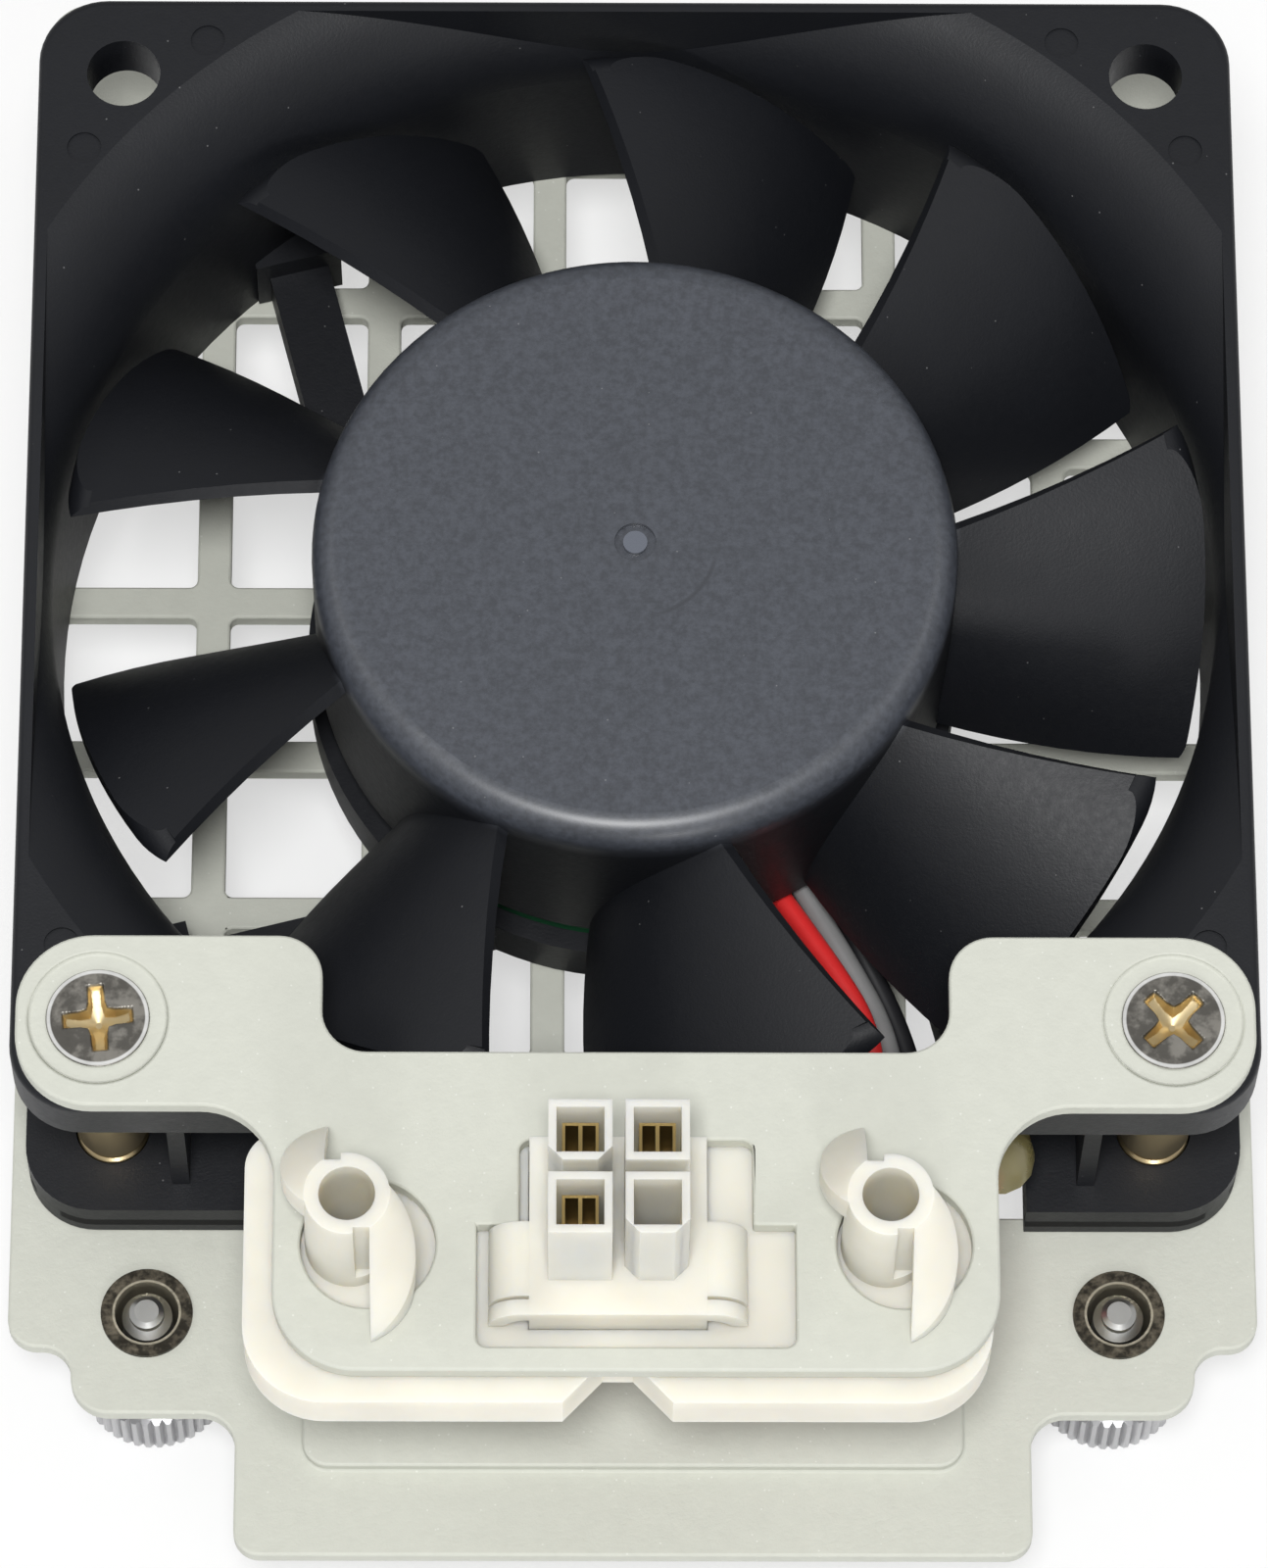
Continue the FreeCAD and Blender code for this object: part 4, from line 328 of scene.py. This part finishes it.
def hub_masks(finish):
    """Three masks on the hub: its cap, its pip, and a faint arc of painted shade round the pip."""
    across, along, height = (finish.axis(letter) for letter in "XYZ")
    radius = (across * across + along * along).maths("SQRT")
    cap = (height.over(HUB_TOP - 2.6 * MM, HUB_TOP - 1.0 * MM)
           * (1 - radius.over(HUB_RADIUS - 0.2 * MM, HUB_RADIUS + 0.2 * MM)))
    pip = height.over(HUB_TOP - 0.3 * MM, HUB_TOP) * (1 - radius.over(0.7 * MM, 0.8 * MM))
    # A darker arc in one quadrant round the pip: painted shade where a shallow sink mark dips.
    sink_mark_shade = (cap * radius.over(4.5 * MM, 4.65 * MM) * (1 - radius.over(4.75 * MM, 4.9 * MM))
           * across.over(0.0, 2 * MM) * (1 - along.over(-2 * MM, 0.0)))
    return cap, pip, sink_mark_shade


def shade_band_mask(finish):
    """1 in a band of painted shade between two heights, outside the flange's edge."""
    height = finish.axis("Z")
    inside = [1 - (place * place).over(FLANGE_EDGE ** 2, (FLANGE_EDGE + 0.1 * MM) ** 2)
              for place in (finish.axis("X"), finish.axis("Y"))]
    low, high = SHADE_BAND
    return ((1 - inside[0] * inside[1]) * height.over(low, low + SHADE_BAND_FADE)
            * (1 - height.over(high - SHADE_BAND_FADE, high)))


print("the hub's cap reaches", round(HUB_RADIUS / MM, 1), "mm out")


# %% Black plastic
def sparked(name, colour, cap_colour):
    finish = Finish(name, Specular_IOR_Level=0.32, Coat_Roughness=0.38)
    grain = finish.noise(0.16 * MM, 2, 0.6)
    mottle = finish.noise(0.45 * MM, 3, 0.65)
    cloud = finish.noise(7 * MM, 2, 0.5)
    cap, pip, sink_mark_shade = hub_masks(finish)
    shade_band = shade_band_mask(finish)
    pale = finish.shades(mottle.over(0.35, 0.65), cap_colour, 0.80, 1.22)
    # The arc round the pip is painted darker: painted shade of the sink mark.
    pale = finish.blend(sink_mark_shade, pale, [c * 0.7 for c in cap_colour])
    tone = finish.blend(cap, finish.shades(cloud, colour, 0.85, 1.15), pale)
    tone = finish.blend(pip, tone, [c * 2.2 for c in cap_colour])
    tone = finish.blend(finish.specks(1.6 * MM, 0.06 * MM) * 0.2, tone, (0.5, 0.5, 0.5))
    # The band along the lower flange's side is painted near-black: painted shade.
    finish.set(Base_Color=finish.blend(shade_band, tone, (0.0015, 0.0015, 0.0015)),
               Coat_Weight=cap * 0.9,
               Roughness=0.42 + mottle * 0.16 - cap * 0.04 + shade_band * 0.4,
               Normal=finish.bumps(grain * 0.6 + mottle * 0.4, 0.035 * MM, 0.55))
    finish.keep()


sparked("black_plastic", (0.0066, 0.0074, 0.0098), (0.044, 0.049, 0.061))

# %% [markdown]
# Plain metal parts differ in colour and in how blurred their reflections are.  One function
# makes them all: a haze varies the tone and the blur, and a fine grain stands for scratches.


# %% Plain metals
def metal(name, colour, rough):
    finish = Finish(name, Metallic=1.0)
    scratch = finish.noise(0.12 * MM, 2, 0.6)
    haze = finish.noise(2.5 * MM, 2, 0.5)
    finish.set(Base_Color=finish.shades(haze, colour, 0.9, 1.06), Roughness=rough + haze * 0.12,
               Normal=finish.bumps(scratch, 0.008 * MM, 0.5))
    finish.keep()


# The darker brass in this table, which the terminals take, is painted shade down in the housing's
# cells.
for name, colour, rough in (
        ("zinc_steel", (0.70, 0.70, 0.68), 0.28), ("gilt_steel", (0.72, 0.58, 0.34), 0.27),
        ("dull_brass", (0.30, 0.22, 0.09), 0.35), ("bearing_steel", (0.75, 0.75, 0.76), 0.12),
        ("spring_steel", (0.62, 0.62, 0.63), 0.25), ("knob_alloy", (0.46, 0.46, 0.47), 0.26),
        ("yoke_steel", (0.45, 0.45, 0.46), 0.35), ("lamination", (0.34, 0.34, 0.36), 0.4),
        ("brass", (0.82, 0.62, 0.30), 0.25), ("copper", (0.72, 0.36, 0.18), 0.3)):
    metal(name, colour, rough)

# %% [markdown]
# The bracket's screws are plated dark, with a paler, yellowish recess and a painted highlight
# round the rim of each head.  The retainers round the thumbscrews are worn in patches, and bright
# at their inner edge.  Each of the two could have a material of its own, but both come in pairs
# at the same distance left and right, so one mask that ignores the sign of X draws a ring round
# either.

# %% Worn metals
KNOB_X, KNOB_Y = 28.0, -40.0
STUD_X, STUD_Y = 30.0, -30.0
HEAD_TOP, RING_FADE = 21.2 * MM, 0.06 * MM


def ring_mask(finish, x, y, low, high):
    """1 between two radii from the upright lines at (x, y) and (-x, y), 0 elsewhere."""
    across = finish.axis("X").maths("ABSOLUTE") - x * MM
    along = finish.axis("Y") - y * MM
    squared = across * across + along * along
    return (squared.over((low - RING_FADE) ** 2, low ** 2)
            * (1 - squared.over(high ** 2, (high + RING_FADE) ** 2)))


def plated_head(name, face, recess, rim):
    finish = Finish(name, Metallic=1.0)
    haze = finish.noise(1.1 * MM, 3, 0.6)
    bare = 1 - finish.axis("Z").over(HEAD_TOP - 0.22 * MM, HEAD_TOP - 0.1 * MM)
    plating = finish.shades(haze.over(0.44, 0.60), face, 0.75, 1.45)
    # A thin, almost white ring near each head's edge: a painted highlight on the rim.
    rim_highlighted = finish.blend(ring_mask(finish, STUD_X, STUD_Y, rim, rim + 0.14 * MM), plating,
                          (0.9, 0.9, 0.88))
    finish.set(Base_Color=finish.blend(bare, rim_highlighted, recess), Roughness=0.30 + haze * 0.2,
               Normal=finish.bumps(haze, 0.03 * MM, 0.5))
    finish.keep()


def worn(name, dark, pale, edge, inner):
    finish = Finish(name, Metallic=0.9)
    haze = finish.noise(0.7 * MM, 3, 0.6)
    ring = ring_mask(finish, KNOB_X, KNOB_Y, inner - 0.3 * MM, inner)
    finish.set(Base_Color=finish.blend(ring * 0.8,
                                       finish.blend(haze.over(0.42, 0.66), dark, pale), edge),
               Roughness=0.36 + haze * 0.2, Normal=finish.bumps(haze, 0.05 * MM, 0.7))
    finish.keep()


plated_head("screw_plating", (0.21, 0.20, 0.18), (0.66, 0.54, 0.32), 2.68 * MM)
worn("worn_gilt", (0.04, 0.036, 0.028), (0.16, 0.14, 0.105), (0.5, 0.46, 0.36), 1.95 * MM)

# %% [markdown]
# The leads have a soft, slightly wavy insulation.  The sleeve round them is tinted and clear, so
# part of the light goes through it; a wholly clear one would look like glass.


# %% Leads' finishes
def insulation(name, colour):
    finish = Finish(name, Specular_IOR_Level=0.35)
    wave = finish.noise(1.5 * MM, 2, 0.5)
    finish.set(Base_Color=finish.shades(wave, colour, 0.9, 1.08),
               Roughness=0.42 + wave * 0.1, Normal=finish.bumps(wave, 0.02 * MM, 0.4))
    finish.keep()


def clear_plastic(name, colour):
    finish = Finish(name, Base_Color=colour, Transmission_Weight=0.55, IOR=1.45)
    wave = finish.noise(1.2 * MM, 2, 0.5)
    finish.set(Roughness=0.22 + wave * 0.15, Normal=finish.bumps(wave, 0.02 * MM, 0.5))
    finish.keep()


insulation("red_sleeve", (0.80, 0.03, 0.03))
insulation("grey_sleeve", (0.22, 0.22, 0.22))
insulation("black_sleeve", (0.012, 0.012, 0.014))
clear_plastic("clear_sleeve", (0.36, 0.31, 0.13))

# %% [markdown]
# Every node of the frame takes the finish of its own material slot, or one that is closer to it.
# Each could be painted by hand, but a lookup by slot can't miss one.

# %% Dress the frame's nodes
slots = {part["node"]: part["material_slot"] for part in frame["record"]["subparts"]}
# The terminals take the darker brass: painted shade inside the housing's cells.
BETTER = {"left_screw_retainer": "worn_gilt", "right_screw_retainer": "worn_gilt",
          "bracket_screws": "screw_plating", "power_terminal": "dull_brass",
          "ground_terminal": "dull_brass", "speed_terminal": "dull_brass",
          "left_standoff": "gilt_steel", "right_standoff": "gilt_steel"}
for name, node in frame["nodes"].items():
    node.data.materials.clear()
    node.data.materials.append(FINISHES[BETTER.get(name, slots[name])])
print(len(slots), "nodes dressed")

# %% [markdown]
# A finer piece stands for a node of the frame and takes its slot, its finish and, where it
# moves as one, its body.  `finished` does that for every mesh below, and `evaluated` turns an
# object with live modifiers into a plain mesh.

# %% A piece that stands for a node
SHARP = math.radians(32)


def finished(name, mesh, replaced, body=None):
    """An object for a mesh that stands for a node, with its finish, on a body if one is given."""
    piece = bpy.data.objects.new(name, mesh)
    bpy.context.collection.objects.link(piece)
    if not mesh.materials:
        mesh.materials.append(FINISHES[BETTER.get(replaced, slots[replaced])])
    mesh.shade_smooth()
    mesh.set_sharp_from_angle(angle=SHARP)
    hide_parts(replaced)
    if body:
        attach(piece, body)
    return piece


def evaluated(piece, *modifiers):
    """The mesh of an object with its modifiers worked out, which are then taken off."""
    graph = bpy.context.evaluated_depsgraph_get()
    mesh = bpy.data.meshes.new_from_object(piece.evaluated_get(graph))
    for modifier in modifiers:
        piece.modifiers.remove(modifier)
    return mesh


print("edges that turn more than", round(math.degrees(SHARP)), "degrees are drawn sharp")

# %% [markdown]
# No real edge is perfectly sharp, and powder coat rounds a sheet's edges further.  The rounding
# could be faked in the shader, but then the outline would stay sharp.  So a copy of each sheet
# has its triangles merged into whole faces, and a Bevel modifier rounds every edge that turns by
# more than 30 degrees.

# %% Soft edges
WELD, FLAT, TURN, EDGE_WIDTH = 0.002 * MM, math.radians(1.0), math.radians(30), 0.15 * MM
body_of = {node: body for body, nodes in frame["record"]["behaviour"]["bodies"].items()
           for node in nodes}


def softened(name):
    mesh = frame["nodes"][name].data.copy()
    work = bmesh.new()
    work.from_mesh(mesh)
    bmesh.ops.remove_doubles(work, verts=work.verts, dist=WELD)
    bmesh.ops.dissolve_limit(work, angle_limit=FLAT, verts=work.verts, edges=work.edges)
    work.to_mesh(mesh)
    work.free()
    piece = finished(name + "_soft", mesh, name, body_of[name])
    bevel = piece.modifiers.new("Bevel", "BEVEL")
    bevel.width = EDGE_WIDTH
    bevel.segments = 2
    bevel.limit_method = "ANGLE"
    bevel.angle_limit = TURN
    bevel.use_clamp_overlap = False
    even = piece.modifiers.new("Even", "WEIGHTED_NORMAL")
    even.keep_sharp = True
    piece.data = evaluated(piece, bevel, even)
    return piece


for name in ("faceplate", "connector_bracket"):
    print(name, len(softened(name).data.polygons), "faces")

# %% [markdown]
# Between the plate and each knob, a wire spring pushes the thumbscrew back out.  It could be drawn
# point by point, but a node group winds it from four sizes, so one group makes both springs and
# a change of wire or turns is one number.


# %% The winding's nodes
def winding_group():
    group = bpy.data.node_groups.new("winding", "GeometryNodeTree")
    face = group.interface
    face.new_socket("Geometry", in_out="INPUT", socket_type="NodeSocketGeometry")
    for name in ("Turns", "Radius", "Height", "Wire"):
        face.new_socket(name, in_out="INPUT", socket_type="NodeSocketFloat")
    face.new_socket("Finish", in_out="INPUT", socket_type="NodeSocketMaterial")
    face.new_socket("Geometry", in_out="OUTPUT", socket_type="NodeSocketGeometry")
    nodes, links = group.nodes, group.links
    start = nodes.new("NodeGroupInput")
    spiral = nodes.new("GeometryNodeCurveSpiral")
    spiral.inputs["Resolution"].default_value = 28
    section = nodes.new("GeometryNodeCurvePrimitiveCircle")
    section.inputs["Resolution"].default_value = 10
    sweep = nodes.new("GeometryNodeCurveToMesh")
    sweep.inputs["Fill Caps"].default_value = True
    real = nodes.new("GeometryNodeRealizeInstances")
    dress = nodes.new("GeometryNodeSetMaterial")
    end = nodes.new("NodeGroupOutput")
    links.new(start.outputs["Turns"], spiral.inputs["Rotations"])
    for socket in ("Start Radius", "End Radius"):
        links.new(start.outputs["Radius"], spiral.inputs[socket])
    links.new(start.outputs["Height"], spiral.inputs["Height"])
    links.new(start.outputs["Wire"], section.inputs["Radius"])
    links.new(spiral.outputs[0], sweep.inputs["Curve"])
    links.new(section.outputs[0], sweep.inputs["Profile Curve"])
    links.new(sweep.outputs[0], real.inputs[0])
    links.new(real.outputs[0], dress.inputs["Geometry"])
    links.new(start.outputs["Finish"], dress.inputs["Material"])
    links.new(dress.outputs[0], end.inputs[0])
    return group


WINDING = winding_group()
print("the winding has", len(WINDING.nodes), "nodes")

# %% [markdown]
# When a knob is pushed in, its spring gets shorter between its fixed end and the knob.  A spring
# that simply moved with the knob would come out of the plate, so here each spring is wound at its
# rest length and stays with the module.

# %% Wound springs
SPRING_LOW, SPRING_HIGH, PUSH = -9.9, -1.7, 3.8
COIL_RADIUS, SPRING_WIRE, TURNS = 2.75, 0.4, 4.5


def wound(node, x, y):
    """A spring between the two heights, from the node group, standing for a node."""
    holder = bpy.data.objects.new("winding", bpy.data.meshes.new("winding"))
    bpy.context.collection.objects.link(holder)
    maker = holder.modifiers.new("winding", "NODES")
    maker.node_group = WINDING
    values = {"Turns": TURNS, "Radius": COIL_RADIUS * MM,
              "Height": (SPRING_HIGH - SPRING_LOW - SPRING_WIRE) * MM,
              "Wire": SPRING_WIRE / 2 * MM, "Finish": FINISHES[slots[node]]}
    for item in WINDING.interface.items_tree:
        if item.in_out == "INPUT" and item.name in values:
            maker[item.identifier] = values[item.name]
    mesh = evaluated(holder, maker)
    bpy.data.objects.remove(holder)
    mesh.transform(Matrix.Translation(Vector((x, y, SPRING_LOW + SPRING_WIRE / 2)) * MM))
    return finished(node + "_wound", mesh, node, "module")


for side, x in (("left", -KNOB_X), ("right", KNOB_X)):
    spring = wound(side + "_thumbscrew_spring", x, KNOB_Y)
    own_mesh(spring)
    print(spring.name, len(spring.data.polygons), "faces")

# %% [markdown]
# Three leads run side by side from the motor, under the blades to the frame's edge, then up and
# under the carrier to their contacts.  Straight runs with corners would look like pipes, so each
# is a smooth curve through its route.  They share the middle of the route, each in its own lane,
# and near the connector each takes its own path to its contact.

# %% A tube along a route
LEAD_RADIUS, SLEEVE_RADIUS, LANE = 0.65, 2.2, 1.5


def tube_along(name, points, radius):
    """A round tube along a smooth curve through a route, as a mesh."""
    curve = bpy.data.curves.new(name, "CURVE")
    curve.dimensions = "3D"
    curve.bevel_depth = radius * MM
    curve.bevel_resolution = 5
    curve.use_fill_caps = True
    line = curve.splines.new("NURBS")
    line.points.add(len(points) - 1)
    for point, place in zip(line.points, points):
        point.co = (*(Vector(place) * MM), 1)
    line.order_u = 3
    line.use_endpoint_u = True
    line.resolution_u = 8
    holder = bpy.data.objects.new(name, curve)
    bpy.context.collection.objects.link(holder)
    mesh = evaluated(holder)
    bpy.data.objects.remove(holder)
    mesh.materials.clear()
    return mesh


def lead(node, points):
    piece = finished(node + "_smooth", tube_along(node, points, LEAD_RADIUS), node)
    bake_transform(piece)
    return piece


print("a lead is", 2 * LEAD_RADIUS, "mm thick")

# %% Leads and their sleeve
MIDDLE = [((9.1, -13.85, 4.3), (0.80, 0.60, 0)), ((12.2, -19.25, 4.2), (0.66, 0.40, -0.55)),
          ((14.9, -24.45, 3.9), (0.62, 0.16, -0.70)), ((15.3, -30.05, 3.3), (1, 0, 0)),
          ((15.6, -34.2, 3.3), (1.1, 0.1, 0)), ((18.5, -35.4, 4.6), (0.75, 1.0, 0)),
          ((20.5, -33.7, 8.0), (0.1, 1.0, 0)), ((20.2, -33.5, 12.0), (0, 0.98, 0)),
          ((16.6, -34.2, 12.0), (0, 1.08, 0))]
LEADS = {
    "red_wire": (-1, [(12.6, -37.4, 8.4), (5.0, -39.4, 6.4), (-3.1, -39.9, 6.6),
                      (-3.1, -39.9, 12.3)]),
    "grey_wire": (0, [(11.0, -38.8, 12.2), (3.0, -44.1, 10.2), (-3.1, -44.1, 8.6),
                      (-3.1, -44.1, 12.3)]),
    "black_wire": (1, [(8.0, -36.0, 10.6), (1.1, -39.9, 9.6), (1.1, -39.9, 12.3)]),
}
for node, (number, under) in LEADS.items():
    points = [tuple(Vector(place) + number * LANE * Vector(aside)) for place, aside in MIDDLE]
    print(node, len(lead(node, points + under).data.vertices), "points")

SLEEVE = [(20.6, -33.8, 9.0), (20.6, -33.5, 12.0), (17.2, -33.6, 12.0)]
finished("wire_sleeve_bent", tube_along("sleeve", SLEEVE, SLEEVE_RADIUS), "wire_sleeve", "module")
print("sleeve drawn over them")

# %% [markdown]
# The standoffs were turned on a lathe, so each is a short list of radii and heights, swept round
# an axis.  A Screw modifier could sweep them too.  Working out every row of points as a ring
# needs no modifier, and the screws' recesses below are made from the same rings.


# %% Turned standoffs
def tube_mesh(name, rows, columns, place):
    """A closed tube of rows of points, with `place(row, column)` giving each point."""
    points = [place(row, column) for row in range(rows) for column in range(columns)]
    faces = [(row * columns + column, row * columns + (column + 1) % columns,
              (row + 1) * columns + (column + 1) % columns, (row + 1) * columns + column)
             for row in range(rows - 1) for column in range(columns)]
    faces.append(tuple(reversed(range(columns))))
    faces.append(tuple(range((rows - 1) * columns, rows * columns)))
    mesh = bpy.data.meshes.new(name)
    mesh.from_pydata([Vector(point) * MM for point in points], [], faces)
    return mesh


def joined(meshes):
    """One mesh from several, with every face pointing outwards."""
    work = bmesh.new()
    for mesh in meshes:
        work.from_mesh(mesh)
    bmesh.ops.recalc_face_normals(work, faces=work.faces)
    result = bpy.data.meshes.new("joined")
    work.to_mesh(result)
    work.free()
    return result


def turned_mesh(profile, x, y, columns=64):
    """A turned piece from pairs of radius and height."""
    def place(row, column):
        angle = 2 * math.pi * column / columns
        radius, height = profile[row]
        return x + radius * math.cos(angle), y + radius * math.sin(angle), height

    return joined([tube_mesh("turned", len(profile), columns, place)])


for side, x in (("left", -STUD_X), ("right", STUD_X)):
    low, high = (corner[2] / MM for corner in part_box(side + "_standoff"))
    stud = turned_mesh([(2.6, low), (2.6, -0.1), (2.5, 0.0), (1.95, 0.0), (2.05, 0.12),
                        (2.05, 3.6), (1.85, 3.8), (1.85, 4.4), (2.05, 4.6),
                        (2.05, high - 0.2), (1.9, high)], x, STUD_Y)
    finished(side + "_standoff_turned", stud, side + "_standoff", "module")
    print(side, "standoff is", round(high - low, 1), "mm high")

# %% [markdown]
# Each bracket screw has a cross recess with sloping walls.  It could be cut with a Boolean, which
# leaves ragged faces.  Here it is a dent in the head's rings: the depth depends only on how far
# a point lies inside the cross, and the walls come out smooth.

# %% Screws with driver recesses
BRACKET_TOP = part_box("connector_bracket")[1][2] / MM
HEAD_RADIUS, ARM, HALF_WIDTH, WALL_RUN = 2.9, 1.95, 0.42, 0.22
RINGS, COLUMNS = 60, 192
SHANK = [(1.25, BRACKET_TOP - 1.65), (1.25, BRACKET_TOP - 7.6), (0.85, BRACKET_TOP - 8.0)]


def dent(reach, angle):
    """How deep the cross is at a point of the head."""
    across, along = sorted((abs(reach * math.cos(angle)), abs(reach * math.sin(angle))))
    edge = max(across - HALF_WIDTH - 0.25 * max(0.0, 1 - along), along - ARM)
    wall = min(1.0, max(0.0, 0.06 - edge) / WALL_RUN)
    return wall * (0.35 + 1.05 * max(0.0, 1 - reach / ARM))


def driver_head(x, y, turn):
    """Rings of points down a countersunk screw: a disc with a cross recess, then its shank."""
    def place(row, column):
        angle = 2 * math.pi * column / COLUMNS
        if row < RINGS:
            reach = HEAD_RADIUS * (row + 0.35) / (RINGS - 0.65)
            height = BRACKET_TOP - dent(reach, angle - turn)
            if row == RINGS - 1:
                height -= 0.06
        else:
            reach, height = SHANK[row - RINGS]
        return x + reach * math.cos(angle), y + reach * math.sin(angle), height

    return tube_mesh("screw", RINGS + len(SHANK), COLUMNS, place)


screws = joined([driver_head(-STUD_X, STUD_Y, 0.1), driver_head(STUD_X, STUD_Y, 0.75)])
finished("bracket_screws_driven", screws, "bracket_screws", "module")
print("two screws have", len(screws.polygons), "faces")

# %% [markdown]
# A crimped contact is a sheet folded to a box: thin walls round a slot, closed by a seam down the
# middle.  A solid peg with a painted slot would look flat from above, so each wall is a thin
# block of its own, on a wider base.

# %% Folded contacts
SLOT_HALF, WALL, SEAM_HALF, BASE_HALF = 1.0, 0.17, 0.11, 1.15
STEP, CONTACT_TOP = 23.5, 28.3


def block(low, high):
    outline = ((low[0], low[1]), (high[0], low[1]), (high[0], high[1]), (low[0], high[1]))
    corners = [(x, y, z) for z in (low[2], high[2]) for x, y in outline]
    mesh = bpy.data.meshes.new("block")
    mesh.from_pydata([Vector(corner) * MM for corner in corners], [],
                     [(3, 2, 1, 0), (4, 5, 6, 7), (0, 1, 5, 4), (1, 2, 6, 5), (2, 3, 7, 6),
                      (3, 0, 4, 7)])
    return mesh


def folded(node):
    low, high = (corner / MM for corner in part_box(node))
    x, y = (low[0] + high[0]) / 2, (low[1] + high[1]) / 2
    half, inner = SLOT_HALF, SLOT_HALF - WALL
    spans = [((-half, -half), (-half + WALL, half)), ((inner, -half), (half, half)),
             ((-half + WALL, -half), (inner, -half + WALL)),
             ((-half + WALL, inner), (inner, half)),
             ((-SEAM_HALF, -half + WALL), (SEAM_HALF, inner))]
    parts = [block((x + a, y + b, STEP), (x + c, y + d, CONTACT_TOP))
             for (a, b), (c, d) in spans]
    parts.append(block((x - BASE_HALF, y - BASE_HALF, low[2]),
                       (x + BASE_HALF, y + BASE_HALF, STEP)))
    return finished(node + "_folded", joined(parts), node, "floating_connector")


for node in ("power_terminal", "ground_terminal", "speed_terminal"):
    print(node, len(folded(node).data.polygons), "faces")

# %% [markdown]
# The floor is a plain pale sheet just under the knobs.  To look white it could be lit harder, but
# that would wash out the module, so it glows a little where the camera sees it directly.


# %% Floor
def make_floor():
    bpy.ops.mesh.primitive_plane_add(size=6, location=(0, 0, cad_box[0][2] - 0.1 * MM))
    floor = bpy.context.object
    floor.name = "floor"
    sheet = Finish("floor", Base_Color=(0.80, 0.80, 0.80), Roughness=0.9)
    seen = sheet.node("ShaderNodeLightPath", output="Is Camera Ray")
    glow = sheet.node("ShaderNodeEmission", {}, {"Color": (1, 1, 1), "Strength": 1.0})
    surface = Val(sheet, sheet.shader.outputs["BSDF"])
    mix = sheet.node("ShaderNodeMixShader", {}, (seen * 0.55, surface, glow))
    output = sheet.tree.nodes["Material Output"]
    sheet.tree.links.new(mix.socket, output.inputs["Surface"])
    floor.data.materials.append(sheet.material)
    floor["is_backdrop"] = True
    return floor


print(make_floor().name, "lies at a height of", round(cad_box[0][2] / MM - 0.1, 1), "mm")

# %% [markdown]
# A large soft key lamp stands almost over the module, a weaker one lights the near edges, and a
# faint pair fills the sides.  An even sky alone would leave no shadow to show the depth of the
# duct, so it is kept low.

# %% Light
LAMPS = (("key", (-0.03, -0.31, 0.86), 0.2, 6.6), ("front", (0.1, -0.95, 0.38), 0.26, 2.0),
         ("left", (-0.55, 0.22, 0.70), 0.3, 0.5), ("right", (0.55, 0.22, 0.70), 0.3, 0.5))
SKY_STRENGTH = 0.40


def lamp(name, place, size, power):
    light = bpy.data.lights.new(name, "AREA")
    light.shape = "DISK"
    light.size = size
    light.energy = power
    holder = bpy.data.objects.new(name, light)
    holder.location = place
    holder.rotation_euler = (Vector(place) * -1).to_track_quat("-Z", "Y").to_euler()
    bpy.context.collection.objects.link(holder)


def make_sky(strength):
    sky = bpy.data.worlds.new("sky")
    sky.use_nodes = True
    background = sky.node_tree.nodes["Background"]
    background.inputs["Color"].default_value = (1, 1, 1, 1)
    background.inputs["Strength"].default_value = strength
    bpy.context.scene.world = sky


for name, place, size, power in LAMPS:
    lamp(name, place, size, power)
make_sky(SKY_STRENGTH)
print(len(LAMPS), "lamps and a sky")

# %% [markdown]
# The last lines measure the finished model.

# %% Finish
low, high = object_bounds()
